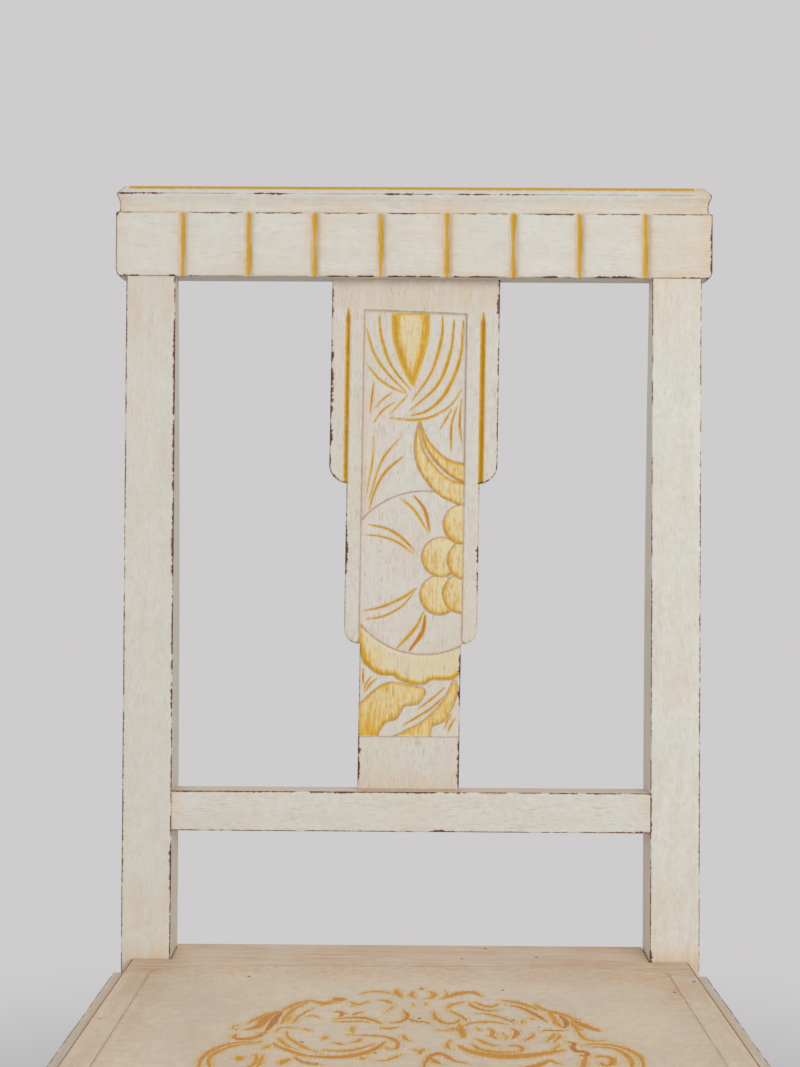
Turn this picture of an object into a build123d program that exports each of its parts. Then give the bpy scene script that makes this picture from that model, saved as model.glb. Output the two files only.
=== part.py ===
from build123d import *
from math import atan, cos, degrees, radians, sin, tan
import os

# A painted wooden side chair: two raked rear posts joined by a fluted crest rail, a low
# back rail and a stepped, carved splat; four seat rails on two tapered front legs and the
# posts; an H of stretchers; and a lift-out seat, a framed panel that sits in a rebate.
#
# Millimetres, +Z up, the front of the chair faces -Y and "left" is -X, as a person standing
# in front of the chair sees it. Everything is drawn from one corner of reference, the
# middle of the line where the posts' front faces meet the top of the seat, and is set on
# the floor at the end. Along the raked back, s is the distance up the posts and d the
# depth behind their front faces.

# ---- Driving dimensions ----
SEAT_HEIGHT = 450.0          # floor to the top of the seat
SEAT_RUN = 385.0             # front of the posts to the front of the front rail
BACK_RAKE = 3.2              # degrees, back above the seat
LEG_RAKE = 6.0               # degrees, rear legs below the seat rails

POST_GAP = 324.0             # between the inner faces of the posts
POST_WIDTH = 33.5
POST_DEPTH = 34.0            # at the seat
POST_THINNING = 1.56e-4      # depth lost per mm squared of height above POST_STRAIGHT
POST_STRAIGHT = 120.0        # the back of a post is straight up to here
REAR_FOOT_DEPTH = 27.0
KNEE_DROP = 95.0             # below the seat top, where the rear legs turn back

CREST_WIDTH = 405.0          # nine equal bays
CREST_BAYS = 9
CREST_FOOT = 462.5           # s of the underside of the crest rail
CREST_BLOCK_TOP = 506.0      # s of the arris between the fluted block and the moulding
CREST_TOP = 525.0
CREST_PROUD = 1.0            # in front of the posts
CREST_BACK = 20.0            # d of the back face
FLUTE_WIDTH = 8.0
FLUTE_DEPTH = 3.2
CREST_END_RADIUS = 3.4

LOW_RAIL_FOOT = 86.5
LOW_RAIL_TOP = 113.5
LOW_RAIL_DEPTH = 22.0

SPLAT_FACE = 9.0             # d of the splat's front
SPLAT_THICK = 11.0
WING_HALF = 57.5             # upper tier
WING_FOOT = 323.0
WING_RADIUS = 12.5
MIDDLE_HALF = 45.5           # middle tier
MIDDLE_FOOT = 213.0
MIDDLE_RADIUS = 10.5
STEM_HALF = 34.6             # lower tier
SPLAT_LEAN = 0.0108          # the splat stands a little askew: sideways for each mm up
SPLAT_PLUMB = 294.0          # where its middle line crosses the chair's
SPLAT_GROOVE_X = 46.25
SPLAT_GROOVE_WIDTH = 3.4
SPLAT_GROOVE_DEPTH = 2.4
SPLAT_GROOVE_TOP = 441.0
FIELD_HALF = 35.1            # recessed field that holds the carving
FIELD_FOOT = 150.0
FIELD_TOP = 439.0
FIELD_DEPTH = 1.2

RAIL_HALF_BACK = 200.5       # outer face of the side rails at the posts
RAIL_FLARE = 0.042           # the side rails spread by this much per mm towards the front
RAIL_DROP = 9.4              # top of the rails below the top of the seat
RAIL_HEIGHT = 64.0
RAIL_THICK = 24.0
BACK_RAIL_INSET = 8.0        # behind the posts' front faces
BACK_RAIL_THICK = 20.0

LEG_TOP = 40.0               # front leg, square at the rails
LEG_FOOT = 28.0              # and at the floor

SEAT_THICK = 20.0
SEAT_EDGE = 13.0             # outer face of the rails to the edge of the seat
SEAT_GAP = 1.0               # round the lift-out seat
POST_CLEARANCE = 0.8         # seat to posts
SIDE_MEMBER = 18.0           # widths of the seat's frame members
FRONT_MEMBER = 44.0
BACK_LINE = 12.0             # front edge of the back member, ahead of the posts
EAR_LINE = 28.5              # where the side members meet the back member
SEAT_JOINT = 0.4             # open joint round the seat panel
TONGUE = 5.0
TONGUE_THICK = 6.0

TENON_THICK = 8.0
TENON_LONG = 18.0
FIT = 0.1                    # glue room round a tenon
SPLAT_TENON = 12.0

DOWEL_RADIUS = 3.5
DOWEL_LONG = 44.0
DOWEL_SPREAD = 7.5           # either side of the middle of a post

BLOCK_LEG = 48.0             # corner blocks
BLOCK_DROP = 24.0            # below the top of the seat
BLOCK_THICK = 22.0
SCREW_RADIUS = 2.0
SCREW_LONG = 30.0
SCREW_INTO_RAIL = 16.0
SCREW_PLACE = 28.0           # from the post or leg, along each rail
SCREW_HEAD_RADIUS = 4.0
SCREW_HEAD_DEEP = 2.6

STRETCHER_WIDE = 15.0
STRETCHER_HIGH = 22.0
STRETCHER_UP = 150.0         # floor to the middle of the stretchers
STRETCHER_HOUSED = 11.0      # how far the ends run into the legs
CROSS_HIGH = 18.0
CROSS_HOUSED = 7.0
CROSS_PLACE = 190.0          # cross stretcher ahead of the posts

# ---- Sizes that follow ----
RAKE = radians(BACK_RAKE)
POST_IN = POST_GAP / 2
POST_OUT = POST_IN + POST_WIDTH
FLOOR = -SEAT_HEIGHT
REAR_FOOT_BACK = POST_DEPTH + (SEAT_HEIGHT - KNEE_DROP) * tan(radians(LEG_RAKE))
MIDDLE_Y = (REAR_FOOT_BACK - SEAT_RUN) / 2
RAIL_FOOT = RAIL_DROP + RAIL_HEIGHT
FLARE_ANGLE = degrees(atan(RAIL_FLARE))

# The raked plane of the posts' front faces: local x across, local y up the posts (s),
# local z out of the front.
BACK_PLANE = Plane(origin=(0, 0, 0), x_dir=(1, 0, 0), z_dir=(0, -cos(RAKE), sin(RAKE)))


def box(x, y, z):
    """A box between two limits along each axis."""
    return Pos(sum(x) / 2, sum(y) / 2, sum(z) / 2) * Box(x[1] - x[0], y[1] - y[0], z[1] - z[0])


def back_box(x, s, d):
    """A box in the raked back: limits across, up the posts and in depth."""
    return BACK_PLANE.location * box(x, s, (-d[1], -d[0]))


def side_point(s, d):
    """Where height s and depth d of the raked back lie, as (y, z)."""
    return s * sin(RAKE) + d * cos(RAKE), s * cos(RAKE) - d * sin(RAKE)


def post_depth(s):
    """Front to back size of a rear post at height s."""
    return POST_DEPTH - POST_THINNING * max(0.0, s - POST_STRAIGHT) ** 2


def rail_half(y):
    """Outer face of the side rails, from the middle plane."""
    return RAIL_HALF_BACK - RAIL_FLARE * y


def seat_half(y):
    """Edge of the seat, from the middle plane."""
    return rail_half(y) - SEAT_EDGE


def prism(points, low, high):
    """An upright prism on a plan outline."""
    face = make_face(Polyline(*points, close=True))
    return Pos(0, 0, low) * extrude(face, high - low, dir=(0, 0, 1))


def mirrored(shape):
    return mirror(shape, Plane.YZ)


# ---- Rear posts: post and leg in one piece ----
def rear_post():
    foot_front = (REAR_FOOT_BACK - REAR_FOOT_DEPTH, FLOOR)
    top = CREST_FOOT
    heights = (top, 0.62 * top + 0.38 * POST_STRAIGHT, 0.3 * top + 0.7 * POST_STRAIGHT, POST_STRAIGHT)
    back_curve = Spline(*[side_point(s, post_depth(s)) for s in heights])
    outline = Polyline(
        side_point(POST_STRAIGHT, POST_DEPTH),
        (POST_DEPTH, 0),
        (POST_DEPTH, -KNEE_DROP),
        (REAR_FOOT_BACK, FLOOR),
        foot_front,
        (0, -KNEE_DROP),
        (0, 0),
        side_point(top, 0),
        side_point(top, post_depth(top)),
    )
    profile = Plane.YZ * make_face(Wire([*outline.edges(), *back_curve.edges()]))
    return Pos(POST_IN, 0, 0) * extrude(profile, POST_WIDTH, dir=(1, 0, 0))


def rear_leg_middle(z):
    """Middle of the rear leg, front to back, below the knee."""
    drop = (-z - KNEE_DROP) / (SEAT_HEIGHT - KNEE_DROP)
    front = drop * (REAR_FOOT_BACK - REAR_FOOT_DEPTH)
    back = POST_DEPTH + drop * (REAR_FOOT_BACK - POST_DEPTH)
    return (front + back) / 2, back - front


# ---- Front legs: square, tapered on the two inner faces ----
def front_leg():
    front = -SEAT_RUN
    outer = rail_half(front)
    top_out = [(rail_half(front), front), (rail_half(front + LEG_TOP), front + LEG_TOP)]
    top_in = [(outer - LEG_TOP, front + LEG_TOP), (outer - LEG_TOP, front)]
    foot = [(outer, front), (outer, front + LEG_FOOT), (outer - LEG_FOOT, front + LEG_FOOT),
            (outer - LEG_FOOT, front)]
    upper = prism(top_out + top_in, -RAIL_FOOT, -RAIL_DROP)
    upper_face = make_face(Polyline(*(top_out + top_in), close=True))
    lower_face = make_face(Polyline(*foot, close=True))
    lower = loft([Pos(0, 0, -RAIL_FOOT) * upper_face, Pos(0, 0, FLOOR) * lower_face])
    return upper + lower


# ---- Crest rail ----
def crest_section():
    """Front-to-back section of the crest rail, in d and s."""
    front = -CREST_PROUD
    ledge = CREST_BLOCK_TOP + 1.0
    cove_top = CREST_BLOCK_TOP + 13.0
    band_top = CREST_TOP - 2.8
    block = Polyline((CREST_BACK, CREST_TOP), (CREST_BACK, CREST_FOOT), (front, CREST_FOOT),
                     (front, CREST_BLOCK_TOP), (front + 3.2, ledge))
    cove = ThreePointArc((front + 3.2, ledge), (front + 3.4, ledge + 7.4), (front + 0.3, cove_top))
    band = ThreePointArc((front + 0.3, cove_top), (front + 0.8, cove_top + 2.2), (front + 2.6, band_top))
    strip = Polyline((front + 2.6, band_top), (front + 5.2, CREST_TOP), (CREST_BACK, CREST_TOP))
    return make_face(Wire([*block.edges(), *cove.edges(), *band.edges(), *strip.edges()]))


def crest_end_section():
    """The same moulding seen from the front, so that it returns round both ends."""
    half = CREST_WIDTH / 2
    ledge = CREST_BLOCK_TOP + 1.0
    cove_top = CREST_BLOCK_TOP + 13.0
    band_top = CREST_TOP - 2.8
    low = CREST_FOOT
    r = CREST_END_RADIUS
    ease = r * (1 - sin(radians(45)))
    foot = Line((0, low), (half - r, low))
    corner = ThreePointArc((half - r, low), (half - ease, low + ease), (half, low + r))
    side = Polyline((half, low + r), (half, CREST_BLOCK_TOP), (half - 1.8, ledge))
    cove = ThreePointArc((half - 1.8, ledge), (half - 2.2, ledge + 7.4), (half - 0.3, cove_top))
    band = ThreePointArc((half - 0.3, cove_top), (half - 0.9, cove_top + 2.2), (half - 2.6, band_top))
    strip = Polyline((half - 2.6, band_top), (half - 5.2, CREST_TOP), (0, CREST_TOP), (0, low))
    edges = [e for wire in (foot, corner, side, cove, band, strip) for e in wire.edges()]
    return make_face(Wire(edges))


def crest_rail():
    depth = Plane(origin=(0, 0, 0), x_dir=(0, 0, -1), z_dir=(1, 0, 0))
    long_bar = extrude(depth * crest_section(), CREST_WIDTH / 2, both=True)
    half_end = extrude(crest_end_section(), 60, both=True)
    solid = long_bar & (half_end + mirrored(half_end))
    bay = CREST_WIDTH / CREST_BAYS
    cut_half = FLUTE_WIDTH / 2
    flute = make_face(Polyline((-cut_half, 0.01), (cut_half, 0.01), (0, -FLUTE_DEPTH), close=True))
    flute_bar = extrude(Plane.XZ * flute, CREST_BLOCK_TOP + 1 - CREST_FOOT + 2, dir=(0, 1, 0))
    for i in range(1, CREST_BAYS):
        x = -CREST_WIDTH / 2 + i * bay
        solid -= Pos(x, CREST_FOOT - 2, CREST_PROUD) * flute_bar
    return BACK_PLANE.location * solid


# ---- Splat: three tiers, two grooves and a recessed field ----
def splat_middle(s):
    """Middle line of the splat at height s."""
    return SPLAT_LEAN * (s - SPLAT_PLUMB)


def leaning(half, foot, top):
    """A face between two heights whose sides follow the splat's lean."""
    low, high = splat_middle(foot), splat_middle(top)
    return make_face(Polyline((low - half, foot), (low + half, foot), (high + half, top), (high - half, top),
                              close=True))


def tier(half, foot, top, radius):
    """One tier of the splat's outline with rounded lower corners."""
    plate = leaning(half, foot, top)
    low_corners = plate.vertices().group_by(Axis.Y)[0]
    return fillet(low_corners, radius) if radius else plate


def back_splat():
    outline = tier(WING_HALF, WING_FOOT, CREST_FOOT, WING_RADIUS)
    outline += tier(MIDDLE_HALF, MIDDLE_FOOT, CREST_FOOT, MIDDLE_RADIUS)
    outline += tier(STEM_HALF, LOW_RAIL_TOP, CREST_FOOT, 0)
    board = Pos(0, 0, -SPLAT_FACE - SPLAT_THICK) * extrude(outline, SPLAT_THICK, dir=(0, 0, 1))
    half = SPLAT_GROOVE_WIDTH / 2
    v_cut = make_face(Polyline((-half, 0.01), (half, 0.01), (0, -SPLAT_GROOVE_DEPTH), close=True))
    groove = extrude(Plane.XZ * v_cut, SPLAT_GROOVE_TOP - WING_FOOT + 1, dir=(0, 1, 0))
    slant = Rot(0, 0, -degrees(atan(SPLAT_LEAN)))
    for x in (-SPLAT_GROOVE_X, SPLAT_GROOVE_X):
        board -= Pos(x + splat_middle(WING_FOOT - 1), WING_FOOT - 1, -SPLAT_FACE) * slant * groove
    field = extrude(leaning(FIELD_HALF, FIELD_FOOT, FIELD_TOP), FIELD_DEPTH + 1, dir=(0, 0, 1))
    board -= Pos(0, 0, -SPLAT_FACE - FIELD_DEPTH) * field
    board += splat_tenons(0)
    return BACK_PLANE.location * board


def splat_tenons(room):
    """Tenons at both ends of the splat, or with room to spare, their mortises."""
    middle = SPLAT_FACE + SPLAT_THICK / 2
    depth = (-middle - 3.5 - room, -middle + 3.5 + room)
    high, low = splat_middle(CREST_FOOT), splat_middle(LOW_RAIL_TOP)
    upper = box((high - 44 - room, high + 44 + room), (CREST_FOOT - room, CREST_FOOT + SPLAT_TENON + 5 * room), depth)
    lower = box((low - 27 - room, low + 27 + room), (LOW_RAIL_TOP - SPLAT_TENON - 5 * room, LOW_RAIL_TOP + room), depth)
    return upper + lower


# ---- Low back rail ----
def low_rail_tenons(room):
    long = TENON_LONG + 5 * room
    half_thick = TENON_THICK / 2 + room
    middle = LOW_RAIL_DEPTH / 2
    height = (LOW_RAIL_FOOT + 4 - room, LOW_RAIL_TOP - 4 + room)
    end = back_box((POST_IN - room, POST_IN + long), height, (middle - half_thick, middle + half_thick))
    return end + mirrored(end)


def lower_back_rail():
    bar = back_box((-POST_IN, POST_IN), (LOW_RAIL_FOOT, LOW_RAIL_TOP), (0, LOW_RAIL_DEPTH))
    return bar + low_rail_tenons(0) - BACK_PLANE.location * splat_tenons(FIT)


# ---- Crest dowels ----
def crest_dowels(room):
    """Two dowels up through the top of each post into the crest rail."""
    depth = post_depth(CREST_FOOT) / 2
    middle = POST_IN + POST_WIDTH / 2
    dowels = []
    for side in (-1, 1):
        for step in (-DOWEL_SPREAD, DOWEL_SPREAD):
            pin = Cylinder(DOWEL_RADIUS + room, DOWEL_LONG + 20 * room, rotation=(90, 0, 0))
            place = Pos(side * middle + step, CREST_FOOT, -depth)
            dowels.append(BACK_PLANE.location * (place * pin))
    return dowels


# ---- Seat rails ----
def back_rail_tenons(room):
    mid = BACK_RAIL_INSET + BACK_RAIL_THICK / 2
    half = TENON_THICK / 2 + room
    end = box((POST_IN - room, POST_IN + TENON_LONG + 5 * room), (mid - half, mid + half),
              (-RAIL_FOOT + 8 - room, -SEAT_THICK - 8 + room))
    return end + mirrored(end)


def back_seat_rail():
    bar = box((-POST_IN, POST_IN), (BACK_RAIL_INSET, BACK_RAIL_INSET + BACK_RAIL_THICK),
              (-RAIL_FOOT, -SEAT_THICK))
    return bar + back_rail_tenons(0)


def side_rail_tenons(room):
    """Both end tenons of the right side rail, square to the post and the leg."""
    leg_back = -SEAT_RUN + LEG_TOP
    long = TENON_LONG + 5 * room
    half = TENON_THICK / 2 + room
    height = (-RAIL_FOOT + 8 - room, -SEAT_THICK - 8 + room)
    rear_x = rail_half(0) - RAIL_THICK / 2 - 4
    fore_x = rail_half(leg_back) - RAIL_THICK / 2
    rear = box((rear_x - half, rear_x + half), (-room, long), height)
    fore = box((fore_x - half, fore_x + half), (leg_back - long, leg_back + room), height)
    return rear, fore


def side_seat_rail():
    leg_back = -SEAT_RUN + LEG_TOP
    plan = [(rail_half(0), 0), (rail_half(0) - RAIL_THICK, 0),
            (rail_half(leg_back) - RAIL_THICK, leg_back), (rail_half(leg_back), leg_back)]
    rear, fore = side_rail_tenons(0)
    return prism(plan, -RAIL_FOOT, -RAIL_DROP) - seat_recess() + rear + fore


def front_rail_tenons(room):
    leg_in = rail_half(-SEAT_RUN) - LEG_TOP
    mid = -SEAT_RUN + RAIL_THICK / 2
    half = TENON_THICK / 2 + room
    end = box((leg_in - room, leg_in + TENON_LONG + 5 * room - 4), (mid - half, mid + half),
              (-RAIL_FOOT + 8 - room, -SEAT_THICK - 8 + room))
    return end + mirrored(end)


def front_seat_rail():
    leg_in = rail_half(-SEAT_RUN) - LEG_TOP
    bar = box((-leg_in, leg_in), (-SEAT_RUN, -SEAT_RUN + RAIL_THICK), (-RAIL_FOOT, -RAIL_DROP))
    return bar - seat_recess() + front_rail_tenons(0)


# ---- Lift-out seat: four members round a tongued panel ----
SEAT_FRONT = -SEAT_RUN + SEAT_EDGE
SEAT_STEP = -0.8             # the seat stops this far ahead of the posts
TONGUE_HALF = POST_IN - POST_CLEARANCE


def seat_outline(grow=0.0):
    """Plan of the whole seat, with a tongue that runs back between the posts."""
    front = SEAT_FRONT - grow
    step = SEAT_STEP
    right = [(seat_half(front) + grow, front), (seat_half(step) + grow, step),
             (TONGUE_HALF + grow, step), (TONGUE_HALF + grow, POST_DEPTH)]
    return right + [(-x, y) for x, y in reversed(right)]


def seat_recess():
    """The well that the seat drops into, cut from the rails and the front legs."""
    front = SEAT_FRONT - SEAT_GAP
    half = [(seat_half(front) + SEAT_GAP, front), (seat_half(40) + SEAT_GAP, 40)]
    return prism(half + [(-x, y) for x, y in reversed(half)], -SEAT_THICK, 10)


def back_member_plan():
    """Front edge of the back member: straight, then swept forward to meet the sides."""
    ear_x = seat_half(-EAR_LINE) - SIDE_MEMBER
    straight = 0.6 * ear_x
    line = Line((0, -BACK_LINE), (straight, -BACK_LINE))
    sweep = ThreePointArc((straight, -BACK_LINE), (0.84 * ear_x, -BACK_LINE - 3.6), (ear_x, -EAR_LINE + 3.5))
    ear = Polyline((ear_x, -EAR_LINE + 3.5), (ear_x, -EAR_LINE), (seat_half(-EAR_LINE), -EAR_LINE))
    return line, sweep, ear


def seat_back_member(shrink=0.0):
    line, sweep, ear = back_member_plan()
    rest = Polyline((seat_half(-EAR_LINE), -EAR_LINE), (seat_half(SEAT_STEP), SEAT_STEP),
                    (TONGUE_HALF, SEAT_STEP), (TONGUE_HALF, POST_DEPTH), (0, POST_DEPTH), (0, -BACK_LINE))
    edges = [e for part in (line, sweep, ear, rest) for e in part.edges()]
    half = extrude(make_face(Wire(edges)), SEAT_THICK, dir=(0, 0, 1))
    return Pos(0, 0, -SEAT_THICK) * (half + mirrored(half))


def seat_panel_half(edge, tongue):
    """Right half of the panel's plan, held back from the members by the open joint."""
    fore = SEAT_FRONT + FRONT_MEMBER + edge - tongue
    rear = -BACK_LINE - edge + tongue
    side = SIDE_MEMBER + edge - tongue
    ear_x = seat_half(-EAR_LINE) - SIDE_MEMBER
    straight = 0.6 * ear_x
    rear_x = ear_x - edge + tongue
    line = Line((0, rear), (straight, rear))
    sweep = ThreePointArc((straight, rear), (0.84 * rear_x, rear - 3.6), (rear_x, rear - 13.0))
    rest = Polyline((rear_x, rear - 13.0), (seat_half(fore) - side, fore), (0, fore), (0, rear))
    edges = [e for part in (line, sweep, rest) for e in part.edges()]
    return make_face(Wire(edges))


def panel_solid(edge, tongue, low, high):
    half = extrude(seat_panel_half(edge, tongue), high - low, dir=(0, 0, 1))
    return Pos(0, 0, low) * (half + mirrored(half))


def panel_tongue(room):
    """The tongue round the panel, or with room to spare, the groove in the members."""
    middle = -SEAT_THICK / 2
    half = TONGUE_THICK / 2 + room
    return panel_solid(SEAT_JOINT, TONGUE + SEAT_JOINT + room, middle - half, middle + half)


def seat_panel():
    return panel_solid(SEAT_JOINT, 0, -SEAT_THICK, 0) + panel_tongue(0)


def member_tenons(room):
    """Tenons of the right side member, into the back and front members."""
    low, high = -SEAT_THICK / 2 - 3 - room, -SEAT_THICK / 2 + 3 + room
    long = 12.0 + 2 * room
    rear_x = seat_half(-EAR_LINE) - SIDE_MEMBER / 2
    fore_y = SEAT_FRONT + FRONT_MEMBER
    fore_x = seat_half(fore_y) - SIDE_MEMBER / 2
    rear = box((rear_x - 2 - room, rear_x + 5 + room), (-EAR_LINE - room, -EAR_LINE + long), (low, high))
    fore = box((fore_x - 2 - room, fore_x + 5 + room), (fore_y - long, fore_y + room), (low, high))
    return rear + fore


def seat_side_member():
    fore_y = SEAT_FRONT + FRONT_MEMBER
    rear_y = -EAR_LINE
    plan = [(seat_half(rear_y), rear_y), (seat_half(rear_y) - SIDE_MEMBER, rear_y),
            (seat_half(fore_y) - SIDE_MEMBER, fore_y), (seat_half(fore_y), fore_y)]
    return prism(plan, -SEAT_THICK, 0) - panel_tongue(FIT) + member_tenons(0)


def seat_front_member():
    fore_y = SEAT_FRONT + FRONT_MEMBER
    half = [(seat_half(SEAT_FRONT), SEAT_FRONT), (seat_half(fore_y), fore_y)]
    plan = half + [(-x, y) for x, y in reversed(half)]
    tenons = member_tenons(FIT)
    return prism(plan, -SEAT_THICK, 0) - panel_tongue(FIT) - tenons - mirrored(tenons)


# ---- Corner blocks and their screws ----
def rail_inner(y):
    return rail_half(y) - RAIL_THICK


def block_plans():
    """Plans of the right rear and right front corner blocks, each let round its post."""
    rear = [(rail_inner(-BLOCK_LEG), -BLOCK_LEG), (rail_inner(0), 0), (POST_IN, 0),
            (POST_IN, BACK_RAIL_INSET), (POST_IN - BLOCK_LEG, BACK_RAIL_INSET)]
    leg_in = rail_half(-SEAT_RUN) - LEG_TOP
    leg_back = -SEAT_RUN + LEG_TOP
    inner = -SEAT_RUN + RAIL_THICK
    fore = [(leg_in - BLOCK_LEG, inner), (leg_in, inner), (leg_in, leg_back),
            (rail_inner(leg_back), leg_back), (rail_inner(leg_back + BLOCK_LEG), leg_back + BLOCK_LEG)]
    return rear, fore


def block_screws(room):
    """The two screws of each right-hand block: one into each rail that it joins."""
    z = -BLOCK_DROP - BLOCK_THICK / 2
    leg_in = rail_half(-SEAT_RUN) - LEG_TOP
    leg_back = -SEAT_RUN + LEG_TOP
    fore = leg_back + SCREW_PLACE
    into = SCREW_INTO_RAIL
    places = [
        ((rail_inner(-SCREW_PLACE) + into, -SCREW_PLACE, z), (-1, 0, 0)),
        ((POST_IN - SCREW_PLACE, BACK_RAIL_INSET + into, z), (0, -1, 0)),
        ((rail_inner(fore) + into, fore, z), (-1, 0, 0)),
        ((leg_in - SCREW_PLACE, -SEAT_RUN + RAIL_THICK - into, z), (0, 1, 0)),
    ]
    screws = []
    for tip, way in places:
        where = Plane(origin=tip, z_dir=way).location
        shank = Pos(0, 0, SCREW_LONG / 2) * Cylinder(SCREW_RADIUS + room, SCREW_LONG)
        head = Pos(0, 0, SCREW_LONG - SCREW_HEAD_DEEP / 2) * Cone(
            SCREW_RADIUS + room, SCREW_HEAD_RADIUS + room, SCREW_HEAD_DEEP)
        reach = Pos(0, 0, SCREW_LONG + 15) * Cylinder(SCREW_HEAD_RADIUS + room, 30)
        screws.append(where * (shank + head + reach) if room else where * (shank + head))
    return screws


# ---- Stretchers: square ends let into the legs ----
def side_stretcher(room=0.0):
    z = -SEAT_HEIGHT + STRETCHER_UP
    middle, deep = rear_leg_middle(z)
    front_face = middle - deep / 2
    drop = (SEAT_HEIGHT - RAIL_FOOT - STRETCHER_UP) / (SEAT_HEIGHT - RAIL_FOOT)
    leg_size = LEG_TOP + (LEG_FOOT - LEG_TOP) * drop
    start = (rail_half(-SEAT_RUN) - leg_size / 2, -SEAT_RUN + leg_size - STRETCHER_HOUSED)
    end = (POST_IN + POST_WIDTH / 2, front_face + STRETCHER_HOUSED)
    half = STRETCHER_WIDE / 2 + room
    high = STRETCHER_HIGH / 2 + room
    plan = [(start[0] - half, start[1] - room), (start[0] + half, start[1] - room),
            (end[0] + half, end[1] + room), (end[0] - half, end[1] + room)]
    return prism(plan, z - high, z + high)


def cross_stretcher(room=0.0):
    z = -SEAT_HEIGHT + STRETCHER_UP
    middle, deep = rear_leg_middle(z)
    half_span = POST_IN + POST_WIDTH / 2 + RAIL_FLARE * CROSS_PLACE - STRETCHER_WIDE / 2 + CROSS_HOUSED
    half = STRETCHER_WIDE / 2 + room
    high = CROSS_HIGH / 2 + room
    return box((-half_span - room, half_span + room), (-CROSS_PLACE - half, -CROSS_PLACE + half),
               (z - high, z + high))


# ---- Assembly ----
def build():
    rear_tenon, fore_tenon = side_rail_tenons(FIT)
    right_stretcher_room = side_stretcher(FIT)
    pins = crest_dowels(0)
    pin_room = crest_dowels(0.05)
    screws = block_screws(0)
    screw_room = block_screws(0.05)
    right_screw_room = screw_room[0] + screw_room[1] + screw_room[2] + screw_room[3]

    post = rear_post() - low_rail_tenons(FIT) - back_rail_tenons(FIT) - rear_tenon
    post -= right_stretcher_room
    for pin in pin_room[2:]:
        post -= pin
    leg = front_leg() - seat_recess() - fore_tenon - front_rail_tenons(FIT) - right_stretcher_room

    crest = crest_rail() - BACK_PLANE.location * splat_tenons(FIT)
    for pin in pin_room:
        crest -= pin

    side_rail = side_seat_rail() - right_screw_room
    both_rooms = right_screw_room + mirrored(right_screw_room)
    rear_plan, fore_plan = block_plans()
    rear_block = prism(rear_plan, -BLOCK_DROP - BLOCK_THICK, -BLOCK_DROP) - right_screw_room
    fore_block = prism(fore_plan, -BLOCK_DROP - BLOCK_THICK, -BLOCK_DROP) - right_screw_room
    stretcher = side_stretcher() - cross_stretcher(FIT)
    tenon_room = member_tenons(FIT)
    back_member = seat_back_member() - panel_tongue(FIT) - tenon_room - mirrored(tenon_room)

    return {
        "rear_post_right": post,
        "rear_post_left": mirrored(post),
        "front_leg_right": leg,
        "front_leg_left": mirrored(leg),
        "crest_rail": crest,
        "crest_dowels": Compound(pins),
        "lower_back_rail": lower_back_rail(),
        "back_splat": back_splat(),
        "front_seat_rail": front_seat_rail() - both_rooms,
        "back_seat_rail": back_seat_rail() - both_rooms,
        "side_seat_rail_right": side_rail,
        "side_seat_rail_left": mirrored(side_rail),
        "corner_block_rear_right": rear_block,
        "corner_block_rear_left": mirrored(rear_block),
        "corner_block_front_right": fore_block,
        "corner_block_front_left": mirrored(fore_block),
        "corner_block_screws": Compound(screws + [mirrored(s) for s in screws]),
        "side_stretcher_right": stretcher,
        "side_stretcher_left": mirrored(stretcher),
        "cross_stretcher": cross_stretcher(),
        "seat_panel": seat_panel(),
        "seat_back_member": back_member,
        "seat_front_member": seat_front_member(),
        "seat_side_member_right": seat_side_member(),
        "seat_side_member_left": mirrored(seat_side_member()),
    }


os.makedirs("parts", exist_ok=True)
on_floor = Pos(0, -MIDDLE_Y, SEAT_HEIGHT)
for name, solid in build().items():
    export_step(on_floor * solid, f"parts/{name}.step")
print("post front at seat: y =", round(-MIDDLE_Y, 3), " overall depth:", round(REAR_FOOT_BACK + SEAT_RUN, 3))
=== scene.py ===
"""A painted side chair: worn cream paint, gilded flutes, a carved splat and a stencilled seat.

Lengths inside the classes are millimetres, and turn into metres when a mesh is made. On the
raked back, s is the distance up the posts from the seat and d the depth behind their fronts.
"""
import logging
import math
from dataclasses import dataclass
from enum import Enum
from typing import Callable, Sequence

import bmesh
import bpy
import numpy as np
from mathutils import Matrix, Vector


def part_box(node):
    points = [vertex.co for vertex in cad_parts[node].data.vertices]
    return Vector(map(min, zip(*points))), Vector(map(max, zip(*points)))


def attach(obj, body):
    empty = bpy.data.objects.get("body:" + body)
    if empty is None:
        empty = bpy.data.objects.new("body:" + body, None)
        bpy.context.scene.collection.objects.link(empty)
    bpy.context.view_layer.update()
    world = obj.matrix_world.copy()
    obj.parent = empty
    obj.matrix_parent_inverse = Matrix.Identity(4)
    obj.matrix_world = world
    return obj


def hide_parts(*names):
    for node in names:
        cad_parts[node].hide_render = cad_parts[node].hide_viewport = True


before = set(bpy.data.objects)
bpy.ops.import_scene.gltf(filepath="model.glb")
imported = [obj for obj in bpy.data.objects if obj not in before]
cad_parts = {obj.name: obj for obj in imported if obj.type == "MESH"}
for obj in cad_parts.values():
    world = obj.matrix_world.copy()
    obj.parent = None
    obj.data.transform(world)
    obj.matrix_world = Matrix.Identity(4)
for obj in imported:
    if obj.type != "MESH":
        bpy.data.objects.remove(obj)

LOG = logging.getLogger("side_chair")
MM = 0.001
UNWORN = 9.0          # an arris distance, in millimetres, that no wear reaches
FAR = -9.0            # the depth inside a form, in millimetres, of places well outside it
FRAME_BODY = "chair_frame"
SEAT_BODY = "drop_in_seat"
Line = Sequence[tuple[float, float]]
Rows = tuple[tuple[float, ...], ...]
Array = np.ndarray
Values = dict[str, Array]
Skin = tuple[Array, list[tuple[int, ...]], Values]
Section = tuple[Array, Callable[[Array], Array]]
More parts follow.
